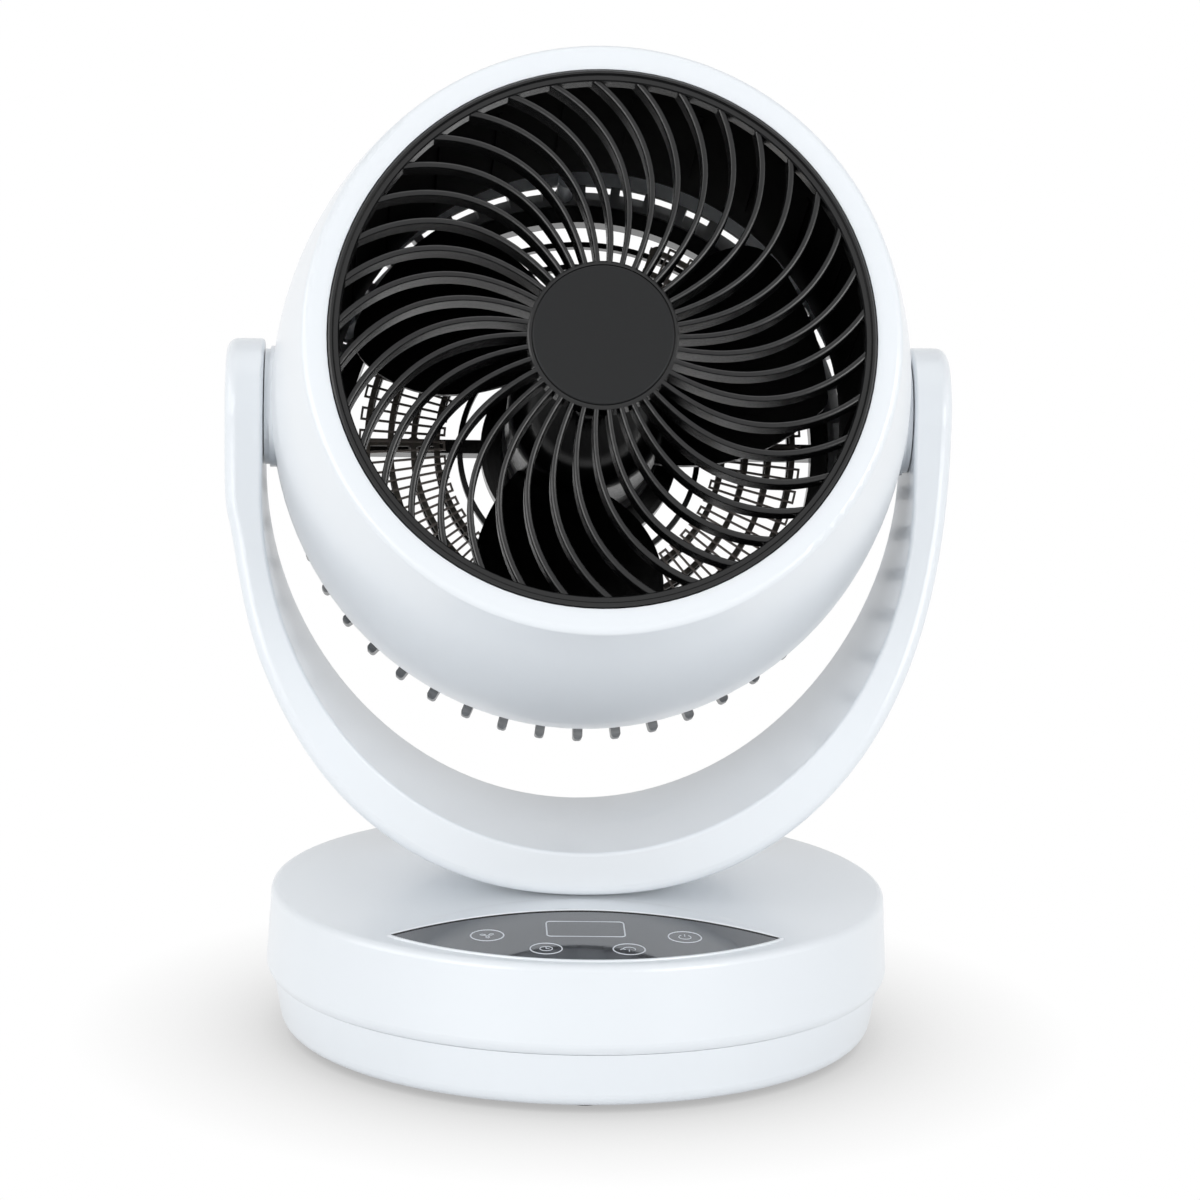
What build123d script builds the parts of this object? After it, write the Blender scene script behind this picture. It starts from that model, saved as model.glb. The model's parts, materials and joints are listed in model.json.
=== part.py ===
from build123d import *
from math import atan2, cos, degrees, hypot, pi, radians, sin, sqrt, tan, acos
import os

# A table-top fan heater: a round base with a touch panel, a U-shaped yoke that
# swivels on it, and a deep round head that tilts between the yoke's arms.
# Millimetres. +Z is up, -Y is the front, and the origin is on the table under
# the middle of the base. Head pieces are drawn about the head's own axis, with
# the pivot line at height 0 and the air blowing towards +Z, and then placed.

# Base shells
BASE_RADIUS = 110.0
BASE_TOP_RADIUS = 108.4
BASE_EDGE_Z = 52.5
BASE_EDGE_ROUND = 2.6
PLATEAU_RADIUS = 36.0
PLATEAU_Z = 57.5
SEAM_Z = 21.5
SEAM_GAP = 0.3
SEAM_STEP = 1.9
SEAM_ROUND_HEIGHT = 4.0
LOWER_TOP_RADIUS = 107.6
LOWER_BOTTOM_RADIUS = 104.0
LOWER_Z = 2.0
LOWER_ROUND = 6.0
BASE_WALL = 2.5
LIP_HEIGHT = 3.0
LIP_WALL = 1.8
FIT_GAP = 0.3

# Feet, ballast and base screws
FOOT_RADIUS = 7.0
FOOT_HEIGHT = 3.2
FOOT_CIRCLE = 88.0
FOOT_COUNT = 5
FOOT_ANGLE = 54.0
BALLAST_THICKNESS = 4.0
BALLAST_INNER = 66.0
BALLAST_OUTER = 80.0
BALLAST_SWEEP = 190.0
BASE_SCREW_CIRCLE = 96.0
BASE_SCREW_ANGLES = (-32, 20, 65, 115, 160, 212)
BOSS_RADIUS = 4.2
SCREW_RADIUS = 1.5
SCREW_HEAD_RADIUS = 3.0
SCREW_HEAD_HEIGHT = 2.0
PILOT_GAP = 0.02

# Control panel, an eye-shaped dark lens let into the sloping top
LENS_TIP_X = 66.5
LENS_TIP_Y = -74.5
LENS_REAR_Y = -39.0
LENS_FRONT_Y = -103.2
LENS_THICKNESS = 1.8
LENS_GAP = 0.2
LENS_SEAT_GAP = 0.15
LENS_LEDGE = 3.5
LENS_LEDGE_DEPTH = 1.6
LENS_LEDGE_OUT = 1.2
BOARD_THICKNESS = 1.6
PANEL_BOARD_TOP = 46.0
PANEL_BOARD_INSET = 2.0
PANEL_POST_INSET = 6.0
DISPLAY_WIDTH = 27.5
DISPLAY_DEPTH = 23.0
DISPLAY_Y = -60.5
TOUCH_OUTER_X = 33.4
TOUCH_OUTER_Y = -69.0
TOUCH_INNER_X = 13.9
TOUCH_INNER_Y = -86.0
TOUCH_SPRING_RADIUS = 4.0
TOUCH_WIRE_RADIUS = 0.35
TOUCH_SPRING_TURNS = 3.0

# Power board and tip-over switch in the lower shell
POWER_BOARD_WIDTH = 84.0
POWER_BOARD_DEPTH = 46.0
POWER_BOARD_Y = -44.0
POWER_BOARD_LIFT = 6.0
STANDOFF_RADIUS = 3.0
TIP_SWITCH_SIZE = 12.0
TIP_SWITCH_HEIGHT = 14.0
TIP_SWITCH_X = 52.0
TIP_SWITCH_Y = -8.0

# Cord inlet bush at the back
GLAND_Z = 12.5
GLAND_RADIUS = 5.5
GLAND_FLANGE_RADIUS = 8.0
GLAND_FLANGE = 2.0
GLAND_NOSE = 9.0
GLAND_BORE_RADIUS = 3.4

# Turntable: neck, bush, gear and pinion
NECK_RADIUS = 22.0
NECK_WALL = 2.5
RUNNING_FIT = 0.06
BUSH_WALL = 2.9
BUSH_FLANGE_RADIUS = 33.0
BUSH_FLANGE = 0.6
HUB_WALL = 3.0
HUB_BOTTOM_Z = 49.0
SLIDE_GAP = 0.3
GEAR_MODULE = 1.25
GEAR_TEETH = 48
PINION_TEETH = 16
GEAR_THICKNESS = 5.5
GEAR_TOP_GAP = 0.5
GEAR_BACKLASH = 0.14
PRESSURE_ANGLE = 20.0
WIRE_HOLE_RADIUS = 9.0
GEAR_SCREW_CIRCLE = 14.5
PINION_BORE_RADIUS = 2.5
MOTOR_CAN_RADIUS = 24.0
MOTOR_CAN_HEIGHT = 17.0
MOTOR_TO_PINION = 4.0
MOTOR_EAR = 29.0
MOTOR_EAR_THICKNESS = 1.2

# Yoke
PIVOT_Z = 222.0
YOKE_HALF_WIDTH = 125.0
YOKE_FULLNESS = 2.23
ARM_GAP_HALF = 112.0
GAP_STRAIGHT = 24.0
GAP_BOTTOM = 148.0
ARM_TOP_RADIUS = 23.5
FOOT_HALF_DEPTH = 42.0
FOOT_FLARE_DROP = 128.0
YOKE_WALL = 2.4
YOKE_OUTER_ROUND = 4.0
YOKE_INNER_ROUND = 1.2
CAP_RADIUS = 20.0
CAP_THICKNESS = 2.2
YOKE_COVER_GAP = 0.2
YOKE_BOSS_RADIUS = 3.6
YOKE_SCREW_SINK = 1.0
YOKE_BOSS_DROPS = (38.0, 122.0)

# Tilt pivots
TRUNNION_RADIUS = 6.0
TRUNNION_FLANGE_RADIUS = 20.0
TRUNNION_FLANGE = 1.8
TRUNNION_SPIGOT_RADIUS = 9.5
TRUNNION_SPIGOT = 8.0
PAD_RADIUS = 21.0
PAD_DEPTH = 10.5
PIVOT_BUSH_WALL = 2.8
PIVOT_BUSH_FLANGE_RADIUS = 12.0
PIVOT_BUSH_FLANGE = 1.4
FRICTION_WASHER = 1.0
PIVOT_NUT = 4.0
PIVOT_NUT_FLATS = 16.0

# Head shell
HEAD_TILT = 20.0
HEAD_FRONT = 118.0
HEAD_REAR = -66.0
RIM_RADIUS = 97.0
RIM_ROUND = 2.4
BELLY_RADIUS = 109.5
REAR_RADIUS = 100.6
HEAD_WALL = 2.4
RIM_BORE = 88.6
COLLAR_WALL = 2.2
COLLAR_DEPTH = 16.0

# Front grille
GRILLE_RADIUS = 88.2
GRILLE_RING = 3.6
GRILLE_PROUD = 1.2
GRILLE_RING_DEPTH = 11.0
GRILLE_GROOVE = 1.2
RIB_COUNT = 38
RIB_WIDTH = 2.15
RIB_DEPTH = 9.5
RIB_ROUND = 0.8
RIB_SWEEP = 26.4
RIB_CURVE = 1.85
GRILLE_DOME = 2.0
GRILLE_HUB_RADIUS = 24.4
CENTRE_CAP_RADIUS = 22.9
CENTRE_CAP_THICKNESS = 2.0

# Air duct
DUCT_MOUTH = 85.4
DUCT_STEP = 1.4
DUCT_STEP_AT = 99.0
DUCT_THROAT = 89.2
DUCT_REAR = -16.0
DUCT_WALL = 1.9
DUCT_FLANGE = 5.0
DUCT_FLANGE_THICKNESS = 2.2
DUCT_RIB_COUNT = 24
DUCT_RIB_WIDTH = 1.4
DUCT_RIB_HEIGHT = 0.8
DUCT_SCREW_COUNT = 4

# Impeller and its drive
BLADE_COUNT = 3
BLADE_PHASE = -7.0
BLADE_TIP = 86.5
IMPELLER_REAR = -32.0
IMPELLER_DEPTH = 34.0
IMPELLER_HUB = 28.0
HUB_NOSE = 7.0
HUB_SKIN = 2.2
BLADE_ROOT_THICKNESS = 3.2
BLADE_TIP_THICKNESS = 1.7
BLADE_SWEEP_ANGLE = 66.0
SHAFT_RADIUS = 3.0
NUT_RADIUS = 7.5
NUT_HEIGHT = 9.0
MOTOR_RADIUS = 27.0
MOTOR_FRONT = -38.0
MOTOR_BOSS_RADIUS = 9.0

# Rear inner grille and finned rear cover
GRID_REAR = -76.0
GRID_RING_DEPTH = 4.0
GRID_RING_WIDTH = 2.0
GRID_FIRST_RING = 43.4
GRID_RING_PITCH = 8.4
GRID_RING_COUNT = 5
GRID_HUB_RADIUS = 36.0
GRID_HUB_THICKNESS = 3.0
GRID_STRUT_HEIGHT = 5.0
GRID_STRUT_DEPTH = 9.0
GRID_RIM_INNER = 84.4
GRID_RIM_OUTER = 90.4
GRID_RIM_DEPTH = 9.0
FIN_COUNT = 48
FIN_TIP = 106.5
FIN_THICKNESS = 3.4
FIN_DEPTH = 9.0
FIN_TIP_ROUND = 1.4
FIN_SLOT_INNER = 97.6
COVER_SHOULDER = 1.6
COVER_INNER_WALL = 2.2
COVER_RIM_WALL = 1.8
COVER_RIM_DEPTH = 3.4
COVER_GAP = 0.3
COVER_SCREW_COUNT = 6
COVER_SCREW_CIRCLE = 94.4

# Heating element
HEATER_AT = -60.0
CARRIER_THICKNESS = 2.0
CARRIER_WIDTH = 2.0
CARRIER_SWEEP = 142.0
CARRIER_RINGS = 4
HEATER_WIRE = 0.8
HEATER_PITCH = 3.0
HEATER_OVERRUN = 3.0
CARRIER_LEG = 2.2
TERMINAL_WIDTH = 4.0
TERMINAL_LENGTH = 9.0
CUTOUT_LENGTH = 12.0
CUTOUT_WIDTH = 7.0
CUTOUT_HEIGHT = 4.0

# Sizes that follow from those above
HUB_BORE = NECK_RADIUS + RUNNING_FIT + BUSH_WALL
YOKE_BOTTOM_Z = PLATEAU_Z + BUSH_FLANGE + SLIDE_GAP
YOKE_DROP = PIVOT_Z - YOKE_BOTTOM_Z
NECK_TOP_Z = YOKE_BOTTOM_Z + 2.6
GEAR_TOP_Z = HUB_BOTTOM_Z - GEAR_TOP_GAP
GEAR_PITCH_RADIUS = GEAR_MODULE * GEAR_TEETH / 2
PINION_PITCH_RADIUS = GEAR_MODULE * PINION_TEETH / 2
PINION_Y = GEAR_PITCH_RADIUS + PINION_PITCH_RADIUS
MOTOR_TOP_Z = GEAR_TOP_Z - GEAR_THICKNESS - MOTOR_TO_PINION
LOWER_FLOOR_Z = LOWER_Z + BASE_WALL
TOP_SLOPE = (PLATEAU_Z - BASE_EDGE_Z) / (BASE_TOP_RADIUS - PLATEAU_RADIUS)
PAD_FACE = ARM_GAP_HALF - 0.4 - TRUNNION_FLANGE
HEAD_PLACE = Pos(0, 0, PIVOT_Z) * Rot(90 - HEAD_TILT, 0, 0)
PIVOTS = (("left", -1), ("right", 1))


# Shared shapes

def turned(outline):
    """A solid of revolution about Z from a list of (radius, height) corners."""
    return revolve(Plane.XZ * make_face(Polyline(*outline, close=True)), Axis.Z)


def ring(inner, outer, low, high):
    """A plain ring about Z between two heights."""
    return turned([(inner, low), (outer, low), (outer, high), (inner, high)])


def disc(radius, low, high):
    """A plain disc about Z between two heights."""
    return Pos(0, 0, (low + high) / 2) * Cylinder(radius, high - low)


def block(x_span, y_span, z_span):
    """A box given by its two ends on each axis."""
    size = [b - a for a, b in (x_span, y_span, z_span)]
    middle = [(a + b) / 2 for a, b in (x_span, y_span, z_span)]
    return Pos(*middle) * Box(*size)


def rod_x(radius, start, end, y=0.0, z=0.0):
    """A round bar along X."""
    return Pos((start + end) / 2, y, z) * Rot(0, 90, 0) * Cylinder(radius, abs(end - start))


def rod_y(radius, start, end, x=0.0, z=0.0):
    """A round bar along Y."""
    return Pos(x, (start + end) / 2, z) * Rot(90, 0, 0) * Cylinder(radius, abs(end - start))


def polar(radius, angle):
    """A flat point at a radius and an angle in degrees."""
    return (radius * cos(radians(angle)), radius * sin(radians(angle)))


def spots(count, radius, first_angle=0.0):
    """Equally spaced points on a circle."""
    return [polar(radius, first_angle + 360 * i / count) for i in range(count)]


def screw(length):
    """A pan-head screw with its seat at height 0, pointing to -Z."""
    head = disc(SCREW_HEAD_RADIUS, 0, SCREW_HEAD_HEIGHT)
    head = fillet(head.edges().group_by(Axis.Z)[-1], SCREW_HEAD_HEIGHT * 0.35)
    slot = Box(SCREW_HEAD_RADIUS, 0.7, SCREW_HEAD_HEIGHT)
    recess = Pos(0, 0, SCREW_HEAD_HEIGHT * 1.1) * (slot + Rot(0, 0, 90) * slot)
    return head + disc(SCREW_RADIUS, -length, 0) - recess


def gather(pieces):
    """Separate solids kept side by side in one node."""
    return Compound(children=[s for p in pieces for s in p.solids()])


def join(pieces):
    """One solid fused from many overlapping ones."""
    return pieces[0].fuse(*pieces[1:]) if len(pieces) > 1 else pieces[0]


def cut(body, tools):
    """A body with every tool taken away in one step."""
    return body.cut(*tools) if tools else body


def save(name, shape):
    """Writes one node."""
    export_step(shape, f"parts/{name}.step")


# Base

def drum(inset):
    """The filled base drum, shrunk by an inset on its sides and top."""
    low = SEAM_Z + SEAM_GAP
    foot = (BASE_RADIUS - SEAM_STEP - inset, low)
    widest = (BASE_RADIUS - inset, low + SEAM_ROUND_HEIGHT)
    edge = (BASE_TOP_RADIUS - inset, BASE_EDGE_Z - inset)
    plateau = (PLATEAU_RADIUS, PLATEAU_Z - inset)
    side = Curve() + [
        Line((0, low), foot),
        TangentArc(widest, foot, tangent=(0, -1)),
        Line(widest, edge),
        Line(edge, plateau),
        Line(plateau, (0, plateau[1])),
        Line((0, plateau[1]), (0, low)),
    ]
    solid = revolve(Plane.XZ * make_face(side), Axis.Z)
    rim = [e for e in solid.edges() if e.geom_type == GeomType.CIRCLE and abs(e.center().Z - edge[1]) < 0.01]
    return fillet(rim, max(BASE_EDGE_ROUND - inset, 0.6))


def panel_outline(inset):
    """The eye-shaped panel outline, two arcs that meet at the tips."""
    tip_x = LENS_TIP_X - inset * 1.6
    rear = ThreePointArc((-tip_x, LENS_TIP_Y), (0, LENS_REAR_Y - inset), (tip_x, LENS_TIP_Y))
    front = ThreePointArc((tip_x, LENS_TIP_Y), (0, LENS_FRONT_Y + inset), (-tip_x, LENS_TIP_Y))
    face = make_face(Curve() + [rear, front])
    return fillet(face.vertices(), 2.0)


def panel_prism(inset, low, high):
    """The panel outline as an upright prism."""
    return extrude(Pos(0, 0, low) * panel_outline(inset), high - low)


def top_z(x, y):
    """Height of the base's sloping top at a place."""
    return PLATEAU_Z - max(hypot(x, y) - PLATEAU_RADIUS, 0) * TOP_SLOPE


def base_screw_places():
    """Places of the screws that close the base, clear of the panel and the cord inlet."""
    return [polar(BASE_SCREW_CIRCLE, angle) for angle in BASE_SCREW_ANGLES]


def touch_places():
    """The four touch pads, as flat points."""
    outer = [(-TOUCH_OUTER_X, TOUCH_OUTER_Y), (TOUCH_OUTER_X, TOUCH_OUTER_Y)]
    inner = [(-TOUCH_INNER_X, TOUCH_INNER_Y), (TOUCH_INNER_X, TOUCH_INNER_Y)]
    return outer + inner


def board_posts():
    """Places of the three screws that hold the panel board."""
    side = LENS_TIP_X - PANEL_POST_INSET
    return [(-side, LENS_TIP_Y), (side, LENS_TIP_Y), (0.0, LENS_FRONT_Y + LENS_LEDGE + 1.5)]


def control_panel_lens():
    """The dark lens, flush with the top of the drum."""
    skin = drum(0) - drum(LENS_THICKNESS)
    return skin & panel_prism(LENS_GAP, SEAM_Z, PLATEAU_Z + 5)


def base_upper_shell():
    """The drum with its panel pocket, hub, posts and motor bosses."""
    inside = drum(BASE_WALL)
    shell = drum(0) - inside
    ledge = (inside - drum(BASE_WALL + LENS_LEDGE_DEPTH)) & panel_prism(-LENS_LEDGE_OUT, SEAM_Z + 20, PLATEAU_Z)
    hub = ring(HUB_BORE, HUB_BORE + HUB_WALL, HUB_BOTTOM_Z, PLATEAU_Z - BASE_WALL + 0.5)
    screw_posts = [
        Pos(x, y, 0) * disc(BOSS_RADIUS, LOWER_FLOOR_Z + 6.0, BASE_EDGE_Z - 1)
        for x, y in base_screw_places()
    ]
    panel_posts = [
        Pos(x, y, 0) * disc(STANDOFF_RADIUS, PANEL_BOARD_TOP, PLATEAU_Z) for x, y in board_posts()
    ]
    ears = [
        Pos(x, PINION_Y, 0) * disc(BOSS_RADIUS, MOTOR_TOP_Z + MOTOR_EAR_THICKNESS, PLATEAU_Z)
        for x in (-MOTOR_EAR, MOTOR_EAR)
    ]
    posts = [p & drum(BASE_WALL - 0.3) for p in screw_posts + panel_posts + ears]
    shell = join([shell, ledge, hub] + posts)
    pocket = panel_prism(0, SEAM_Z, PLATEAU_Z + 5) - drum(LENS_THICKNESS + LENS_SEAT_GAP)
    window = panel_prism(LENS_LEDGE, SEAM_Z, PLATEAU_Z + 5)
    window = cut(window, [Pos(x, y, 0) * disc(STANDOFF_RADIUS, 0, 90) for x, y in board_posts()])
    bore = disc(HUB_BORE, SEAM_Z, PLATEAU_Z + 5)
    pilots = [
        Pos(x, y, 0) * disc(SCREW_RADIUS + PILOT_GAP, LOWER_FLOOR_Z, LOWER_FLOOR_Z + 22.0)
        for x, y in base_screw_places()
    ]
    pilots += [
        Pos(x, y, 0) * disc(SCREW_RADIUS + PILOT_GAP, PANEL_BOARD_TOP - 1, PANEL_BOARD_TOP + 4.5)
        for x, y in board_posts()
    ]
    pilots += [
        Pos(x, PINION_Y, 0) * disc(SCREW_RADIUS + PILOT_GAP, MOTOR_TOP_Z, MOTOR_TOP_Z + 9.5)
        for x in (-MOTOR_EAR, MOTOR_EAR)
    ]
    return cut(shell, [pocket, window, bore] + pilots)


def tray(inset, floor_inset, top):
    """The filled lower tray, shrunk by an inset."""
    outline = [
        (0, LOWER_Z + floor_inset),
        (LOWER_BOTTOM_RADIUS - inset, LOWER_Z + floor_inset),
        (LOWER_TOP_RADIUS - inset, top),
        (0, top),
    ]
    solid = turned(outline)
    return fillet(solid.edges().group_by(Axis.Z)[0], max(LOWER_ROUND - inset, 1.0))


def base_lower_shell():
    """The tray with its lip, screw tubes, board posts and cord hole."""
    shell = tray(0, 0, SEAM_Z) - tray(BASE_WALL, BASE_WALL, SEAM_Z)
    lip_outer = BASE_RADIUS - SEAM_STEP - BASE_WALL - FIT_GAP
    lip = ring(lip_outer - LIP_WALL, lip_outer, SEAM_Z - 2.0, SEAM_Z + LIP_HEIGHT)
    tubes = [
        Pos(x, y, 0) * disc(BOSS_RADIUS, LOWER_Z, LOWER_FLOOR_Z + 5.7)
        for x, y in base_screw_places()
    ]
    posts = [
        Pos(x, y, 0) * disc(STANDOFF_RADIUS, LOWER_Z + 1, LOWER_FLOOR_Z + POWER_BOARD_LIFT)
        for x, y in power_posts()
    ]
    shell = join([shell, lip] + tubes + posts)
    tools = []
    for x, y in base_screw_places():
        tools.append(Pos(x, y, 0) * disc(SCREW_HEAD_RADIUS + FIT_GAP, 0, LOWER_FLOOR_Z + 1.0))
        tools.append(Pos(x, y, 0) * disc(SCREW_RADIUS + FIT_GAP, 0, SEAM_Z))
    for x, y in foot_places():
        tools.append(Pos(x, y, 0) * disc(FOOT_RADIUS, 0, FOOT_HEIGHT))
    tools.append(rod_y(GLAND_RADIUS, BASE_RADIUS - 30, BASE_RADIUS + 5, 0, GLAND_Z))
    tools += [
        Pos(x, y, 0) * disc(SCREW_RADIUS + PILOT_GAP, LOWER_FLOOR_Z + 0.5, SEAM_Z) for x, y in power_posts()
    ]
    return cut(shell, tools)


def foot_places():
    """Places of the feet: one under the turntable and five round it."""
    return [(0, 0)] + spots(FOOT_COUNT, FOOT_CIRCLE, FOOT_ANGLE)


def rubber_feet():
    """Six round feet let into the tray."""
    foot = disc(FOOT_RADIUS, 0, FOOT_HEIGHT)
    foot = fillet(foot.edges().group_by(Axis.Z)[0], 0.8)
    return gather([Pos(x, y, 0) * foot for x, y in foot_places()])


def base_screws():
    """The screws that close the base from below."""
    one = Rot(180, 0, 0) * screw(16.0)
    return gather([
        Pos(x, y, LOWER_FLOOR_Z + 1.0) * one
        for x, y in base_screw_places()
    ])


def ballast_plate():
    """A steel half ring on the floor of the tray, towards the back."""
    full = ring(BALLAST_INNER, BALLAST_OUTER, LOWER_FLOOR_Z, LOWER_FLOOR_Z + BALLAST_THICKNESS)
    start = 90 - BALLAST_SWEEP / 2
    wedge = revolve(
        Rot(0, 0, start) * (Plane.XZ * Pos(60, 0) * Rectangle(118, 90)), Axis.Z, BALLAST_SWEEP
    )
    return gather([full & wedge])


def power_posts():
    """Places of the four screws of the power board."""
    half_w = POWER_BOARD_WIDTH / 2 - 5
    half_d = POWER_BOARD_DEPTH / 2 - 5
    return [(x, POWER_BOARD_Y + y) for x in (-half_w, half_w) for y in (-half_d, half_d)]


def power_board():
    """The mains board with transformer, relays, capacitors and a heat sink."""
    low = LOWER_FLOOR_Z + POWER_BOARD_LIFT
    top = low + BOARD_THICKNESS
    half_w, half_d = POWER_BOARD_WIDTH / 2, POWER_BOARD_DEPTH / 2
    board = block((-half_w, half_w), (POWER_BOARD_Y - half_d, POWER_BOARD_Y + half_d), (low, top))
    sunk = top - 0.2
    transformer = block((-30, -8), (POWER_BOARD_Y - 10, POWER_BOARD_Y + 10), (sunk, top + 17))
    transformer += block((-26, -12), (POWER_BOARD_Y - 13, POWER_BOARD_Y + 13), (sunk, top + 12))
    relays = [
        block((x, x + 10), (POWER_BOARD_Y - 16, POWER_BOARD_Y + 2), (sunk, top + 14)) for x in (4, 17)
    ]
    cans = [Pos(x, POWER_BOARD_Y + 13, 0) * disc(4.5, sunk, top + 15) for x in (2, 13, 24)]
    sink = [
        block((30 + 3.0 * i, 31.2 + 3.0 * i), (POWER_BOARD_Y - 9, POWER_BOARD_Y + 9), (sunk, top + 15))
        for i in range(3)
    ]
    sink.append(block((30, 37.2), (POWER_BOARD_Y - 9, POWER_BOARD_Y + 9), (sunk, top + 2)))
    board = join([board, transformer] + relays + cans + sink)
    holes = [Pos(x, y, 0) * disc(SCREW_RADIUS + FIT_GAP, 0, SEAM_Z) for x, y in power_posts()]
    return cut(board, holes)


def power_board_screws():
    """Four screws into the tray's posts."""
    top = LOWER_FLOOR_Z + POWER_BOARD_LIFT + BOARD_THICKNESS
    return gather([Pos(x, y, top) * screw(6.5) for x, y in power_posts()])


def tip_over_switch():
    """The enclosed tilt switch on its ribbed foot."""
    half = TIP_SWITCH_SIZE / 2
    body = block(
        (TIP_SWITCH_X - half, TIP_SWITCH_X + half),
        (TIP_SWITCH_Y - half, TIP_SWITCH_Y + half),
        (LOWER_FLOOR_Z, LOWER_FLOOR_Z + TIP_SWITCH_HEIGHT),
    )
    body = fillet(body.edges().filter_by(Axis.Z), 1.5)
    centre = (TIP_SWITCH_X, TIP_SWITCH_Y)
    top = LOWER_FLOOR_Z + TIP_SWITCH_HEIGHT
    dome = Pos(*centre, 0) * disc(half - 1.5, top - 1, top + 1.2)
    tabs = [
        Pos(centre[0] + s * (half + 0.6), centre[1], LOWER_FLOOR_Z + 5) * Box(1.6, 4.0, 0.8) for s in (-1, 1)
    ]
    return join([body, dome] + tabs)


def panel_circuit_board():
    """The touch board under the lens."""
    board = panel_prism(PANEL_BOARD_INSET, PANEL_BOARD_TOP - BOARD_THICKNESS, PANEL_BOARD_TOP)
    chip = block((22, 34), (-84, -76), (PANEL_BOARD_TOP - 3.4, PANEL_BOARD_TOP - BOARD_THICKNESS + 0.2))
    plug = block((-34, -20), (-86, -78), (PANEL_BOARD_TOP - 7.0, PANEL_BOARD_TOP - BOARD_THICKNESS + 0.2))
    holes = [Pos(x, y, 0) * disc(SCREW_RADIUS + FIT_GAP, 0, PLATEAU_Z) for x, y in board_posts()]
    return cut(join([board, chip, plug]), holes)


def panel_board_screws():
    """Three screws up through the touch board."""
    low = PANEL_BOARD_TOP - BOARD_THICKNESS
    return gather([Pos(x, y, low) * Rot(180, 0, 0) * screw(5.5) for x, y in board_posts()])


def display_module():
    """The figure display, standing on the touch board under the lens."""
    y_span = (DISPLAY_Y - DISPLAY_DEPTH / 2, DISPLAY_Y + DISPLAY_DEPTH / 2)
    front_z = top_z(0, y_span[0]) - LENS_THICKNESS - LENS_LEDGE_DEPTH
    x_span = (-DISPLAY_WIDTH / 2, DISPLAY_WIDTH / 2)
    body = block(x_span, y_span, (PANEL_BOARD_TOP, front_z))
    return chamfer(body.edges().group_by(Axis.Z)[-1], 0.6)


def touch_springs():
    """Four coil springs that bring the pads up to the lens."""
    springs = []
    for x, y in touch_places():
        height = top_z(x, y) - LENS_THICKNESS - LENS_SEAT_GAP - PANEL_BOARD_TOP - 2 * TOUCH_WIRE_RADIUS - 0.6
        pitch = height / TOUCH_SPRING_TURNS
        path = Helix(pitch, height, TOUCH_SPRING_RADIUS)
        profile = Plane(path @ 0, z_dir=path % 0) * Circle(TOUCH_WIRE_RADIUS)
        coil = sweep(profile, path=path, is_frenet=True)
        springs.append(Pos(x, y, PANEL_BOARD_TOP + TOUCH_WIRE_RADIUS + 0.05) * coil)
    return gather(springs)


def cord_gland():
    """The bush where the mains cord enters, with its inner flange and nose."""
    inner = LOWER_BOTTOM_RADIUS - BASE_WALL - 3.0
    outside = LOWER_TOP_RADIUS + 0.1
    body = rod_y(GLAND_RADIUS - 0.1, inner, outside + GLAND_NOSE, 0, GLAND_Z)
    grooves = [
        rod_y(GLAND_RADIUS + 1, outside + y, outside + y + 1.2, 0, GLAND_Z)
        - rod_y(GLAND_RADIUS - 1.3, outside + y - 1, outside + y + 2.2, 0, GLAND_Z)
        for y in (3.0, 5.4)
    ]
    flange = rod_y(GLAND_FLANGE_RADIUS, outside, outside + GLAND_FLANGE, 0, GLAND_Z)
    bore = rod_y(GLAND_BORE_RADIUS, 0, BASE_RADIUS + 40, 0, GLAND_Z)
    nut = rod_y(GLAND_RADIUS + 1.1, inner, inner + 2.0, 0, GLAND_Z)
    return cut(join([body, flange, nut]), grooves + [bore])


# Swivel drive

def involute_gear(teeth, thickness):
    """A spur gear about Z with true involute flanks, standing on height 0."""
    pitch_r = GEAR_MODULE * teeth / 2
    base_r = pitch_r * cos(radians(PRESSURE_ANGLE))
    tip_r = pitch_r + GEAR_MODULE
    root_r = pitch_r - 1.25 * GEAR_MODULE

    def spread(radius):
        pressure = acos(min(base_r / radius, 1.0))
        return tan(pressure) - pressure

    half_tooth = (pi * GEAR_MODULE / 2 - GEAR_BACKLASH) / (2 * pitch_r)
    start_r = max(base_r, root_r)
    steps = [start_r + (tip_r - start_r) * i / 4 for i in range(5)]
    half_angles = [half_tooth + spread(pitch_r) - spread(r) for r in steps]
    tooth_angle = 2 * pi / teeth
    edges = []
    for tooth in range(teeth):
        middle = tooth * tooth_angle
        right = [(r * cos(middle - a), r * sin(middle - a)) for r, a in zip(steps, half_angles)]
        left = [(r * cos(middle + a), r * sin(middle + a)) for r, a in zip(steps, half_angles)]
        root_half = half_angles[0]
        foot_right = (root_r * cos(middle - root_half), root_r * sin(middle - root_half))
        foot_left = (root_r * cos(middle + root_half), root_r * sin(middle + root_half))
        next_right = middle + tooth_angle - root_half
        next_foot = (root_r * cos(next_right), root_r * sin(next_right))
        between = middle + tooth_angle / 2
        if base_r > root_r:
            edges.append(Line(foot_right, right[0]))
        edges.append(Spline(*right))
        edges.append(ThreePointArc(right[-1], (tip_r * cos(middle), tip_r * sin(middle)), left[-1]))
        edges.append(Spline(*reversed(left)))
        if base_r > root_r:
            edges.append(Line(left[0], foot_left))
        edges.append(ThreePointArc(foot_left, (root_r * cos(between), root_r * sin(between)), next_foot))
    return extrude(make_face(Curve() + edges), thickness)


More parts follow.
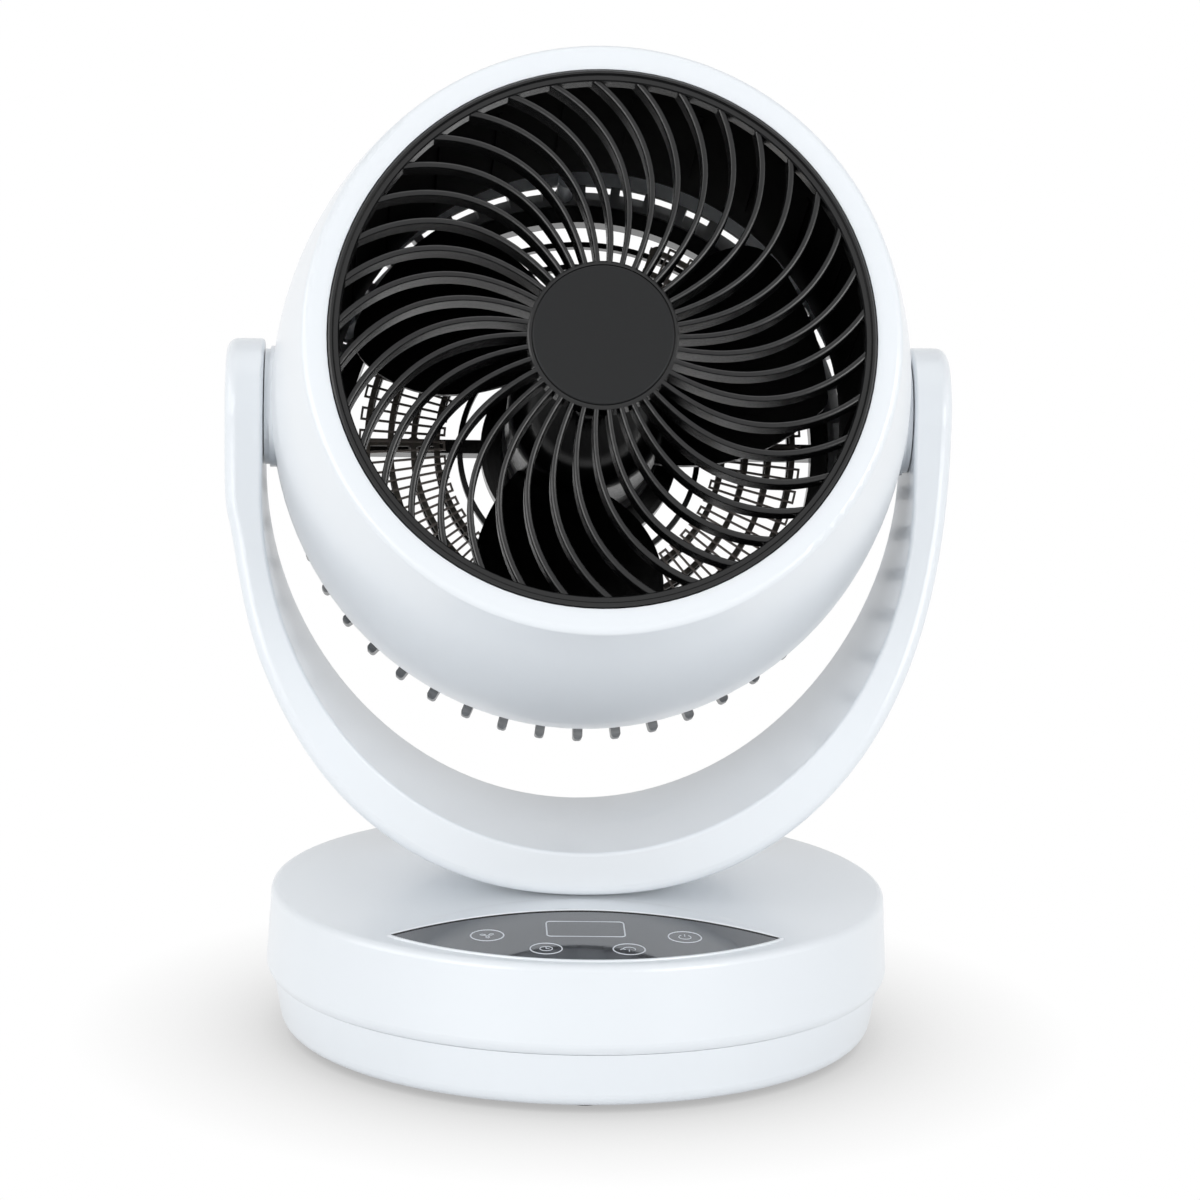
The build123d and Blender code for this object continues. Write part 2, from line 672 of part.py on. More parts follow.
def turntable_gear():
    """The ring gear under the neck, with its web and screw holes."""
    gear = Rot(0, 0, 90) * involute_gear(GEAR_TEETH, GEAR_THICKNESS)
    holes = [disc(WIRE_HOLE_RADIUS, -1, GEAR_THICKNESS + 1)]
    holes += [
        Pos(x, y, 0) * disc(SCREW_RADIUS + FIT_GAP, -1, GEAR_THICKNESS + 1) for x, y in spots(3, GEAR_SCREW_CIRCLE)
    ]
    holes.append(ring(GEAR_SCREW_CIRCLE + 4.5, GEAR_PITCH_RADIUS - 4.0, -1, GEAR_THICKNESS * 0.4))
    return Pos(0, 0, GEAR_TOP_Z - GEAR_THICKNESS) * cut(gear, holes)


def turntable_gear_screws():
    """Three screws that pull the gear up against the neck."""
    low = GEAR_TOP_Z - GEAR_THICKNESS
    return gather([Pos(x, y, low) * Rot(180, 0, 0) * screw(12.0) for x, y in spots(3, GEAR_SCREW_CIRCLE)])


def swivel_pinion():
    """The small gear on the gearmotor's shaft."""
    half_pitch = 180 / PINION_TEETH
    gear = Rot(0, 0, 90 + half_pitch) * involute_gear(PINION_TEETH, GEAR_THICKNESS)
    bore = disc(PINION_BORE_RADIUS + 0.05, -1, GEAR_THICKNESS + 1)
    collar = ring(PINION_BORE_RADIUS + 0.05, PINION_PITCH_RADIUS * 0.6, -1.5, 0.2)
    return Pos(0, PINION_Y, GEAR_TOP_Z - GEAR_THICKNESS) * (gear - bore + collar)


def swivel_motor():
    """The flat gearmotor with ears, terminals and shaft."""
    can = disc(MOTOR_CAN_RADIUS, MOTOR_TOP_Z - MOTOR_CAN_HEIGHT, MOTOR_TOP_Z)
    can = fillet(can.edges().group_by(Axis.Z)[0], 2.0)
    plate = Pos(0, 0, MOTOR_TOP_Z + MOTOR_EAR_THICKNESS / 2) * extrude(
        SlotOverall(2 * MOTOR_EAR + 9.0, 9.0), MOTOR_EAR_THICKNESS / 2, both=True
    )
    boss = disc(7.0, MOTOR_TOP_Z, MOTOR_TOP_Z + 2.2)
    shaft = disc(PINION_BORE_RADIUS, MOTOR_TOP_Z, GEAR_TOP_Z)
    block_out = block((-9, 9), (MOTOR_CAN_RADIUS - 3, MOTOR_CAN_RADIUS + 4), (MOTOR_TOP_Z - 12, MOTOR_TOP_Z - 5))
    motor = join([can, plate, boss, shaft, block_out])
    holes = [Pos(x, 0, 0) * disc(SCREW_RADIUS + FIT_GAP, 0, PLATEAU_Z) for x in (-MOTOR_EAR, MOTOR_EAR)]
    return Pos(0, PINION_Y, 0) * cut(motor, holes)


def swivel_motor_screws():
    """Two screws through the gearmotor's ears."""
    one = Rot(180, 0, 0) * screw(9.0)
    return gather([Pos(x, PINION_Y, MOTOR_TOP_Z) * one for x in (-MOTOR_EAR, MOTOR_EAR)])


def turntable_bush():
    """The plastic bush that the neck turns in, with a broad flange on top."""
    bore = NECK_RADIUS + RUNNING_FIT
    tube = ring(bore, HUB_BORE - 0.02, HUB_BOTTOM_Z + 0.3, PLATEAU_Z)
    flange = ring(bore, BUSH_FLANGE_RADIUS, PLATEAU_Z, PLATEAU_Z + BUSH_FLANGE)
    return tube + flange


# Yoke

def half_profile(half_width, drop, straight, bottom_round):
    """A round-bottomed outline in the XZ plane, open upwards past the pivot."""
    centre = PIVOT_Z - straight
    oval = Pos(0, centre) * Ellipse(half_width, drop - straight)
    upper = Pos(0, centre + bottom_round / 2) * Rectangle(2 * half_width, bottom_round)
    lower = oval & Pos(0, centre - 200) * Rectangle(600, 400)
    return lower + upper


def full_profile(half_width, drop):
    """The yoke's outer edge: fuller than an oval, and level at the bottom."""
    power = 2 / YOKE_FULLNESS
    right = []
    for step in range(1, 9):
        a = radians(90 * step / 8)
        right.append((half_width * cos(a) ** power if step < 8 else 0, PIVOT_Z - drop * sin(a) ** power))
    left = [(-x, z) for x, z in reversed(right[:-1])]
    ends = [(half_width, PIVOT_Z)], [(-half_width, PIVOT_Z)]
    curve = Spline(*(ends[0] + right + left + ends[1]), tangents=((0, -1), (0, 1)))
    top = PIVOT_Z + 80
    roof = Polyline((-half_width, PIVOT_Z), (-half_width, top), (half_width, top), (half_width, PIVOT_Z))
    return make_face(Curve() + [curve, roof])


def front_outline(inset):
    """The yoke's U seen from the front, shrunk by an inset all round."""
    outer = full_profile(YOKE_HALF_WIDTH - inset, YOKE_DROP - inset)
    inner = half_profile(ARM_GAP_HALF + inset, GAP_BOTTOM + inset, GAP_STRAIGHT, 140)
    return outer - inner


def side_outline(inset):
    """The yoke seen from the side: round arm tops that widen to a broad foot."""
    top = ARM_TOP_RADIUS - inset
    foot = FOOT_HALF_DEPTH - inset
    flare_z = PIVOT_Z - FOOT_FLARE_DROP
    low = YOKE_BOTTOM_Z - 5
    edges = [
        Line((-foot, low), (foot, low)),
        Line((foot, low), (foot, flare_z)),
        Spline((foot, flare_z), (top, PIVOT_Z), tangents=((0, 1), (0, 1))),
        ThreePointArc((top, PIVOT_Z), (0, PIVOT_Z + top), (-top, PIVOT_Z)),
        Spline((-top, PIVOT_Z), (-foot, flare_z), tangents=((0, -1), (0, -1))),
        Line((-foot, flare_z), (-foot, low)),
    ]
    return make_face(Curve() + edges)


def yoke_blank(inset):
    """The filled yoke, shrunk by an inset."""
    front = extrude(Plane.XZ * front_outline(inset), 80, both=True)
    side = extrude(Plane.YZ * side_outline(inset), 160, both=True)
    return front & side


def on_profile(edge, half_width, drop, straight, fullness=2):
    """True where the middle of a front or rear edge lies on a round-bottomed outline."""
    middle = edge.position_at(0.5)
    reach = abs(middle.X) / half_width
    fall = max(PIVOT_Z - straight - middle.Z, 0) / (drop - straight)
    return abs(reach ** fullness + fall ** fullness - 1) < 0.03 and abs(middle.Y) > 5


def yoke_solid():
    """The filled yoke with its edges rounded."""
    blank = yoke_blank(0).solids()[0]
    outer = [e for e in blank.edges() if on_profile(e, YOKE_HALF_WIDTH, YOKE_DROP, 0, YOKE_FULLNESS)]
    rounded = blank.fillet(YOKE_OUTER_ROUND, outer)
    inner = [
        e for e in rounded.edges() if e.length > 20 and on_profile(e, ARM_GAP_HALF, GAP_BOTTOM, GAP_STRAIGHT)
    ]
    return rounded.fillet(YOKE_INNER_ROUND, inner)


def arm_middle(drop):
    """The middle of an arm, seen from the front, at a drop below the pivot."""
    outer = YOKE_HALF_WIDTH * (1 - (drop / YOKE_DROP) ** YOKE_FULLNESS) ** (1 / YOKE_FULLNESS)
    below = max(drop - GAP_STRAIGHT, 0) / (GAP_BOTTOM - GAP_STRAIGHT)
    inner = ARM_GAP_HALF * sqrt(1 - below ** 2)
    return (outer + inner) / 2


def yoke_boss_places():
    """Screw places along the middle of the U, as (x, z)."""
    return [(side * arm_middle(drop), PIVOT_Z - drop) for side in (1, -1) for drop in YOKE_BOSS_DROPS]


def yoke_shell():
    """The hollow yoke, open at the back, with its neck and screw bosses."""
    solid = yoke_solid()
    hollow_front = extrude(Plane.XZ * front_outline(YOKE_WALL), 80, both=True)
    hollow_side = extrude(Plane.YZ * side_outline(YOKE_WALL), 160, both=True)
    rear = block((-160, 160), (0, 90), (YOKE_BOTTOM_Z, PIVOT_Z))
    hollow = hollow_front & (hollow_side + rear)
    shell = solid - hollow
    inner_side = hollow_side & block((-160, 160), (-90, 90), (YOKE_BOTTOM_Z, PIVOT_Z + 40))
    bosses = [
        rod_y(YOKE_BOSS_RADIUS, -80, 80, x, z) & inner_side & solid for x, z in yoke_boss_places()
    ]
    neck = ring(NECK_RADIUS - NECK_WALL, NECK_RADIUS, GEAR_TOP_Z, NECK_TOP_Z)
    floor = disc(NECK_RADIUS - 0.5, GEAR_TOP_Z, GEAR_TOP_Z + 2.5)
    posts = [
        Pos(x, y, 0) * disc(3.4, GEAR_TOP_Z, NECK_TOP_Z) for x, y in spots(3, GEAR_SCREW_CIRCLE)
    ]
    shell = join([shell, neck, floor] + posts + bosses)
    tools = [disc(WIRE_HOLE_RADIUS, GEAR_TOP_Z - 1, YOKE_BOTTOM_Z + 5)]
    tools += [
        Pos(x, y, 0) * disc(SCREW_RADIUS + PILOT_GAP, GEAR_TOP_Z - 1, YOKE_BOTTOM_Z)
        for x, y in spots(3, GEAR_SCREW_CIRCLE)
    ]
    tools += [rod_y(SCREW_RADIUS + PILOT_GAP, 4.0, 90, x, z) for x, z in yoke_boss_places()]
    bush_radius = TRUNNION_RADIUS + RUNNING_FIT + PIVOT_BUSH_WALL
    for name, side in PIVOTS:
        tools.append(rod_x(bush_radius, side * (ARM_GAP_HALF - 2), side * (ARM_GAP_HALF + 8), 0, PIVOT_Z))
        tools.append(rod_x(CAP_RADIUS, side * (YOKE_HALF_WIDTH - 5), side * (YOKE_HALF_WIDTH + 5), 0, PIVOT_Z))
    return cut(shell, tools)


def yoke_rear_cover():
    """The curved strip let into the back of the yoke."""
    solid = yoke_blank(0) - extrude(Plane.YZ * side_outline(YOKE_WALL), 160, both=True)
    inlay = extrude(Plane.XZ * front_outline(YOKE_WALL + YOKE_COVER_GAP), 80, both=True)
    rear = block((-160, 160), (5, 90), (YOKE_BOTTOM_Z, PIVOT_Z - YOKE_COVER_GAP))
    strip = solid & inlay & rear
    holes = [rod_y(SCREW_RADIUS + FIT_GAP, 4.0, 90, x, z) for x, z in yoke_boss_places()]
    holes += [
        rod_y(SCREW_HEAD_RADIUS + FIT_GAP, rear_face_y(z) - YOKE_SCREW_SINK, 90, x, z)
        for x, z in yoke_boss_places()
    ]
    return cut(strip, holes)


def rear_face_y(z):
    """How far back the yoke's rear face lies at a height."""
    slab = extrude(Plane.YZ * side_outline(0), 1) & block((-5, 5), (-90, 90), (z - 0.05, z + 0.05))
    return slab.bounding_box().max.Y


def yoke_cover_screws():
    """The screws that hold the rear strip."""
    screws = []
    for x, z in yoke_boss_places():
        screws.append(Pos(x, rear_face_y(z) - YOKE_SCREW_SINK, z) * Rot(-90, 0, 0) * screw(12.0))
    return gather(screws)


def pivot_cap(side):
    """The round cover flush in the outside of one arm."""
    solid = yoke_blank(0)
    outer = YOKE_HALF_WIDTH
    plug = rod_x(CAP_RADIUS - 0.25, side * (outer - CAP_THICKNESS), side * (outer + 3), 0, PIVOT_Z)
    return gather([plug & solid])


def pivot_bush(side):
    """The bush in one arm's inner wall."""
    bore = TRUNNION_RADIUS + RUNNING_FIT
    outer = bore + PIVOT_BUSH_WALL - 0.02
    start, end = ARM_GAP_HALF + 0.2, ARM_GAP_HALF + YOKE_WALL + PIVOT_BUSH_FLANGE + 0.6
    tube = rod_x(outer, side * start, side * end, 0, PIVOT_Z)
    seat = ARM_GAP_HALF + YOKE_WALL
    flange = rod_x(PIVOT_BUSH_FLANGE_RADIUS, side * seat, side * (seat + PIVOT_BUSH_FLANGE), 0, PIVOT_Z)
    return tube + flange - rod_x(bore, side * (start - 5), side * (end + 5), 0, PIVOT_Z)


# Tilt pivots, drawn about the head's own axis

def trunnion(side):
    """One stub shaft with its round flange against the head."""
    end = ARM_GAP_HALF + YOKE_WALL + PIVOT_BUSH_FLANGE + 0.6 + FRICTION_WASHER + PIVOT_NUT + 0.8
    shaft = rod_x(TRUNNION_RADIUS, side * PAD_FACE, side * end)
    shaft = chamfer(shaft.edges().group_by(Axis.X)[-1 if side > 0 else 0], 0.6)
    flange = rod_x(TRUNNION_FLANGE_RADIUS, side * PAD_FACE, side * (PAD_FACE + TRUNNION_FLANGE))
    spigot = rod_x(TRUNNION_SPIGOT_RADIUS, side * (PAD_FACE - TRUNNION_SPIGOT), side * (PAD_FACE + 0.2))
    wires = rod_x(TRUNNION_RADIUS - 2.0, side * (PAD_FACE - 20), side * (end + 5))
    holes = [
        rod_x(SCREW_RADIUS + PILOT_GAP, side * (PAD_FACE - 1), side * (PAD_FACE + 1.4), y, z)
        for y, z in spots(3, trunnion_screw_circle(), 90)
    ]
    return cut(join([shaft, flange, spigot]), [wires] + holes)


def trunnion_screw_circle():
    """Radius of the three screws round a trunnion."""
    return (TRUNNION_SPIGOT_RADIUS + PAD_RADIUS) / 2


def trunnion_screws():
    """Three screws a side, driven from inside the head."""
    screws = []
    for name, side in PIVOTS:
        for y, z in spots(3, trunnion_screw_circle(), 90):
            turn = Rot(0, -90 * side, 0)
            screws.append(Pos(side * (PAD_FACE - PAD_DEPTH), y, z) * turn * screw(PAD_DEPTH + 1.2))
    return gather(screws)


def friction_washer(side):
    """The washer that gives the tilt its drag."""
    start = ARM_GAP_HALF + YOKE_WALL + PIVOT_BUSH_FLANGE + 0.7
    outer = rod_x(TRUNNION_RADIUS + 4.5, side * start, side * (start + FRICTION_WASHER))
    return outer - rod_x(TRUNNION_RADIUS + 0.1, side * (start - 2), side * (start + 4))


def pivot_nut(side):
    """The hexagon nut on the end of a trunnion."""
    start = ARM_GAP_HALF + YOKE_WALL + PIVOT_BUSH_FLANGE + 0.8 + FRICTION_WASHER
    radius = PIVOT_NUT_FLATS / 2 / cos(radians(30))
    prism = extrude(Plane.YZ * RegularPolygon(radius, 6), PIVOT_NUT * side)
    bore = rod_x(TRUNNION_RADIUS + 0.01, -20, 20)
    return Pos(side * start, 0, 0) * (prism - bore)


# Head, drawn about its own axis

def head_blank(inset):
    """The filled head shell, shrunk by an inset on its sides."""
    front = (RIM_RADIUS - inset, HEAD_FRONT - RIM_ROUND)
    belly = (BELLY_RADIUS - inset, 0)
    back = (REAR_RADIUS - inset, HEAD_REAR)
    edges = [
        Line((0, HEAD_FRONT), (RIM_RADIUS - inset - RIM_ROUND, HEAD_FRONT)),
        RadiusArc((RIM_RADIUS - inset - RIM_ROUND, HEAD_FRONT), front, RIM_ROUND),
        TangentArc(belly, front, tangent=(0, 1)),
        TangentArc(belly, back, tangent=(0, -1)),
        Line(back, (0, HEAD_REAR)),
        Line((0, HEAD_REAR), (0, HEAD_FRONT)),
    ]
    return revolve(Plane.XZ * make_face(Curve() + edges), Axis.Z)


def cover_screw_places():
    """Screw places of the rear cover, midway between fins."""
    return spots(COVER_SCREW_COUNT, COVER_SCREW_CIRCLE, 360 / COVER_SCREW_COUNT / 2 + 180 / FIN_COUNT)


def duct_screw_places():
    """Screw places of the duct's flange."""
    return spots(DUCT_SCREW_COUNT, duct_flange_inner() + 4.4, 45)


def duct_flange_inner():
    """Outside radius of the duct just behind its flange."""
    return DUCT_MOUTH + DUCT_STEP + DUCT_WALL


def head_shell():
    """The white shell with its rim, collar, pivot pads and screw bosses."""
    outer = head_blank(0)
    room = head_blank(HEAD_WALL) & disc(200, HEAD_REAR - 1, HEAD_FRONT - HEAD_WALL)
    shell = outer - room
    collar_in = RIM_BORE + 0.6
    collar = ring(collar_in, collar_in + COLLAR_WALL, HEAD_FRONT - HEAD_WALL - COLLAR_DEPTH, HEAD_FRONT - 1)
    collar_end = HEAD_FRONT - HEAD_WALL - COLLAR_DEPTH
    extras = [collar]
    for x, y in duct_screw_places():
        extras.append(Pos(x, y, 0) * disc(2.8, collar_end, HEAD_FRONT - 1) & outer)
    for name, side in PIVOTS:
        pad = rod_x(PAD_RADIUS, side * (PAD_FACE - PAD_DEPTH), side * (PAD_FACE + 3))
        extras.append(pad & rod_x(PAD_RADIUS + 5, side * (PAD_FACE - PAD_DEPTH), side * PAD_FACE))
    wall_in = REAR_RADIUS - HEAD_WALL
    for x, y in cover_screw_places():
        boss = Pos(x, y, 0) * disc(3.0, HEAD_REAR + 0.6, HEAD_REAR + 22)
        angle = degrees(atan2(y, x))
        web = Rot(0, 0, angle) * block((COVER_SCREW_CIRCLE, wall_in + 6), (-1.2, 1.2), (HEAD_REAR + 0.6, HEAD_REAR + 22))
        extras.append((boss + web) & outer)
    shell = join([shell] + extras)
    tools = [disc(RIM_BORE, HEAD_FRONT - 14, HEAD_FRONT + 5)]
    tools += [
        Pos(x, y, 0) * disc(SCREW_RADIUS + PILOT_GAP, collar_end - 1, collar_end + 8)
        for x, y in duct_screw_places()
    ]
    tools += [
        Pos(x, y, 0) * disc(SCREW_RADIUS + PILOT_GAP, HEAD_REAR - 1, HEAD_REAR + 14)
        for x, y in cover_screw_places()
    ]
    for name, side in PIVOTS:
        face = rod_x(PAD_RADIUS + 3, side * PAD_FACE, side * (PAD_FACE + 8))
        tools.append(face)
        tools.append(rod_x(TRUNNION_SPIGOT_RADIUS + 0.15, side * (PAD_FACE - 30), side * (PAD_FACE + 5)))
        tools += [
            rod_x(SCREW_RADIUS + 0.1, side * (PAD_FACE - 30), side * (PAD_FACE + 5), y, z)
            for y, z in spots(3, trunnion_screw_circle(), 90)
        ]
    return cut(shell, tools)


def rib_half_width(share):
    """Half the width of a rib, a little thinner towards the middle."""
    return RIB_WIDTH / 2 * (0.82 + 0.18 * share)


def grille_rib():
    """One spiral rib: radial at the middle and swept round towards the ring."""
    inner, outer = GRILLE_HUB_RADIUS - 1.0, GRILLE_RADIUS - GRILLE_RING + 1.5
    left, right = [], []
    for step in range(7):
        share = step / 6
        radius = inner + (outer - inner) * share
        angle = RIB_SWEEP * share ** RIB_CURVE
        turn = radians(RIB_SWEEP) * RIB_CURVE * share ** (RIB_CURVE - 1) * radius / (outer - inner)
        heading = radians(angle) + atan2(turn, 1.0)
        x, y = polar(radius, angle)
        half = rib_half_width(share)
        left.append((x - half * sin(heading), y + half * cos(heading)))
        right.append((x + half * sin(heading), y - half * cos(heading)))
    outline = [Spline(*left), Line(left[-1], right[-1]), Spline(*reversed(right)), Line(right[0], left[0])]
    top = HEAD_FRONT + GRILLE_PROUD + GRILLE_DOME
    rib = extrude(Pos(0, 0, HEAD_FRONT - RIB_DEPTH) * make_face(Curve() + outline), top - HEAD_FRONT + RIB_DEPTH)
    rib = rib & grille_dome(0)
    long_edges = [e for e in rib.edges() if e.length > 30 and e.center().Z > HEAD_FRONT - 2]
    return rib.solids()[0].fillet(RIB_ROUND, long_edges)


def grille_dome(drop):
    """A shallow lens that gives the ribs their domed front."""
    rim = (GRILLE_RADIUS, HEAD_FRONT - 1.0 - drop)
    crown = (0, HEAD_FRONT + GRILLE_DOME - drop)
    rise = crown[1] - rim[1]
    mid_radius = GRILLE_RADIUS / 2
    mid = (mid_radius, rim[1] + rise * 0.75)
    edges = [
        ThreePointArc(rim, mid, crown),
        Line(crown, (0, 0)),
        Line((0, 0), (GRILLE_RADIUS, 0)),
        Line((GRILLE_RADIUS, 0), rim),
    ]
    return revolve(Plane.XZ * make_face(Curve() + edges), Axis.Z)


def front_grille():
    """The black spiral grille with its stepped ring and middle disc."""
    inner = GRILLE_RADIUS - GRILLE_RING
    top = HEAD_FRONT + GRILLE_PROUD
    low = top - GRILLE_RING_DEPTH
    step = GRILLE_RING / 2
    rim = turned([
        (inner + 1.2, low), (GRILLE_RADIUS, low), (GRILLE_RADIUS, top - 0.6), (GRILLE_RADIUS - 0.6, top),
        (inner + step + 0.5, top), (inner + step, top - GRILLE_GROOVE), (inner + 0.4, top - GRILLE_GROOVE),
        (inner, top - GRILLE_GROOVE - 0.6), (inner, low + 3),
    ])
    rib = grille_rib()
    ribs = [Rot(0, 0, 360 / RIB_COUNT * i) * rib for i in range(RIB_COUNT)]
    hub_top = HEAD_FRONT + GRILLE_DOME + 0.2
    hub = disc(GRILLE_HUB_RADIUS, HEAD_FRONT - RIB_DEPTH + 1, hub_top)
    hub = chamfer(hub.edges().group_by(Axis.Z)[-1], 0.5)
    grille = rim.fuse(hub).fuse(Compound(children=ribs))
    pocket = disc(CENTRE_CAP_RADIUS + 0.25, hub_top - CENTRE_CAP_THICKNESS + 0.4, hub_top + 2)
    relief = ring(6.0, GRILLE_HUB_RADIUS - 2.2, HEAD_FRONT - 30, hub_top - CENTRE_CAP_THICKNESS - 1.6)
    peg = disc(2.6, HEAD_FRONT - 30, hub_top + 2)
    return cut(grille, [pocket, relief, peg])


def grille_centre_cap():
    """The matte disc in the middle of the grille, with its fixing peg."""
    hub_top = HEAD_FRONT + GRILLE_DOME + 0.2
    seat = hub_top - CENTRE_CAP_THICKNESS + 0.4
    cap = disc(CENTRE_CAP_RADIUS, seat, seat + CENTRE_CAP_THICKNESS)
    cap = fillet(cap.edges().group_by(Axis.Z)[-1], 0.7)
    return cap + disc(2.5, seat - 6.5, seat + 0.5)


def air_duct():
    """The black duct from the impeller to the grille, with flange and ribs."""
    mouth_z = HEAD_FRONT + GRILLE_PROUD - GRILLE_RING_DEPTH - 0.4
    step_in = DUCT_MOUTH + DUCT_STEP
    wall = DUCT_WALL
    flange_top = HEAD_FRONT - HEAD_WALL - COLLAR_DEPTH - 0.2
    flange_low = flange_top - DUCT_FLANGE_THICKNESS
    tube = turned([
        (DUCT_MOUTH, mouth_z), (DUCT_MOUTH, DUCT_STEP_AT), (step_in, DUCT_STEP_AT - 1.0),
        (DUCT_THROAT, DUCT_REAR + 3), (DUCT_THROAT + 0.6, DUCT_REAR), (DUCT_THROAT + wall, DUCT_REAR),
        (step_in + wall, DUCT_STEP_AT - 3.5), (step_in + wall, DUCT_STEP_AT + 0.2),
        (DUCT_MOUTH + wall + 0.6, DUCT_STEP_AT + 1.5), (DUCT_MOUTH + wall + 0.6, mouth_z),
    ])
    flange = ring(duct_flange_inner() - 0.5, duct_flange_inner() + DUCT_FLANGE, flange_low, flange_top)
    lugs = [Pos(x, y, 0) * disc(4.0, flange_low, flange_top) for x, y in duct_screw_places()]
    duct = join([tube, flange] + lugs)
    low, high = IMPELLER_REAR + IMPELLER_DEPTH + 8, DUCT_STEP_AT - 4
    ribs = []
    for i in range(DUCT_RIB_COUNT):
        strip = block((DUCT_MOUTH - 1, DUCT_THROAT + 1), (-DUCT_RIB_WIDTH / 2, DUCT_RIB_WIDTH / 2), (low, high))
        ribs.append(Rot(0, 0, 360 / DUCT_RIB_COUNT * (i + 0.5)) * strip)
    inner_low = step_in + (DUCT_THROAT - step_in) * (high - low) / (high - DUCT_REAR)
    core = turned([(0, low), (inner_low - DUCT_RIB_HEIGHT, low), (step_in - DUCT_RIB_HEIGHT, high), (0, high)])
    rest = turned([(0, low), (inner_low + 0.5, low), (step_in + 0.5, high), (0, high)])
    ribs = [(r & rest) - core for r in ribs]
    duct = join([duct] + ribs)
    holes = [
        Pos(x, y, 0) * disc(SCREW_RADIUS + FIT_GAP, flange_low - 1, flange_top + 1) for x, y in duct_screw_places()
    ]
    return cut(duct, holes)


def duct_screws():
    """Screws that fix the duct's flange to the collar."""
    low = HEAD_FRONT - HEAD_WALL - COLLAR_DEPTH - 0.2 - DUCT_FLANGE_THICKNESS
    return gather([Pos(x, y, low) * Rot(180, 0, 0) * screw(9.0) for x, y in duct_screw_places()])


def grid_ring_radius(index):
    """Radius of one of the concentric rings."""
    return GRID_FIRST_RING + GRID_RING_PITCH * index


def rear_inner_grille():
    """Concentric black rings on struts, with the plate that holds the motor."""
    low = GRID_REAR
    half = GRID_RING_WIDTH / 2
    pieces = [ring(GRID_RIM_INNER, GRID_RIM_OUTER, low, low + GRID_RIM_DEPTH)]
    for i in range(GRID_RING_COUNT):
        radius = grid_ring_radius(i)
        pieces.append(ring(radius - half, radius + half, low + 1, low + 1 + GRID_RING_DEPTH))
    pieces.append(disc(GRID_HUB_RADIUS, low, low + GRID_HUB_THICKNESS))
    pieces.append(ring(GRID_HUB_RADIUS - 2, GRID_HUB_RADIUS, low, low + GRID_STRUT_DEPTH))
    bar = block(
        (GRID_HUB_RADIUS - 1, GRID_RIM_INNER + 1),
        (-GRID_STRUT_HEIGHT / 2, GRID_STRUT_HEIGHT / 2),
        (low, low + GRID_STRUT_DEPTH),
    )
    pieces += [Rot(0, 0, a) * bar for a in (0, 180, 270)]
    grid = join(pieces)
    holes = [
        Pos(x, y, 0) * disc(SCREW_RADIUS + FIT_GAP, low - 1, low + 20) for x, y in spots(4, motor_screw_circle(), 45)
    ]
    vents = [
        Rot(0, 0, 45 * i + 22.5) * (Pos(13.0, 0, low) * Box(9.0, 2.4, 20)) for i in range(8)
    ]
    return cut(grid, holes + vents)


def motor_screw_circle():
    """Radius of the motor's fixing screws."""
    return MOTOR_RADIUS - 5.0


def fin_outline():
    """One fin seen along its thickness: wide at the root, rounded at the tip."""
    root = GRID_RIM_OUTER + COVER_GAP + COVER_INNER_WALL - 0.6
    low = GRID_REAR
    top = HEAD_REAR - COVER_GAP
    corners = Polyline((root, low), (FIN_TIP, low + 1.2), (FIN_TIP, top), (root, top), close=True)
    face = make_face(corners)
    tips = [v for v in face.vertices() if v.X > FIN_TIP - 0.1]
    return fillet(tips, 2.4)


def fin():
    """One fin with its tip rounded both ways."""
    root = GRID_RIM_OUTER + COVER_GAP + COVER_INNER_WALL - 0.6
    across = Pos((root + FIN_TIP) / 2, 0) * Rectangle(FIN_TIP - root, FIN_THICKNESS)
    tips = [v for v in across.vertices() if v.X > FIN_TIP - 0.1]
    across = fillet(tips, FIN_TIP_ROUND)
    along = extrude(Plane.XZ * fin_outline(), FIN_THICKNESS, both=True)
    return along & extrude(Pos(0, 0, GRID_REAR - 1) * across, HEAD_REAR - GRID_REAR + 2)


def rear_cover():
    """The grey inlet cover: an inner ring, a shoulder, a rim and a crown of fins."""
    inner = GRID_RIM_OUTER + COVER_GAP
    low = GRID_REAR
    top = HEAD_REAR - COVER_GAP
    ring_in = ring(inner, inner + COVER_INNER_WALL, low, top)
    lip = ring(GRID_RIM_INNER + 2.0, inner + 0.5, low - 1.6, low - 0.02)
    lip += ring(inner, inner + COVER_INNER_WALL, low - 1.6, low + 0.5)
    rim_out = REAR_RADIUS - 0.4
    rim = ring(rim_out - COVER_RIM_WALL, rim_out, top - COVER_RIM_DEPTH, top)
    shoulder = ring(inner + 0.5, FIN_SLOT_INNER, low, low + COVER_SHOULDER)
    one = fin()
    fins = [Rot(0, 0, 360 / FIN_COUNT * i) * one for i in range(FIN_COUNT)]
    pads = [Pos(x, y, 0) * disc(3.6, top - 2.4, top) for x, y in cover_screw_places()]
    cover = join([ring_in, lip, rim, shoulder] + fins + pads)
    holes = []
    for x, y in cover_screw_places():
        holes.append(Pos(x, y, 0) * disc(SCREW_RADIUS + FIT_GAP, low - 4, top + 1))
        holes.append(Pos(x, y, 0) * disc(SCREW_HEAD_RADIUS + 0.4, low - 4, top - 2.4))
    return cut(cover, holes)


def rear_cover_screws():
    """Screws that hold the rear cover to the head shell."""
    seat = HEAD_REAR - COVER_GAP - 2.4
    return gather([Pos(x, y, seat) * Rot(180, 0, 0) * screw(12.0) for x, y in cover_screw_places()])


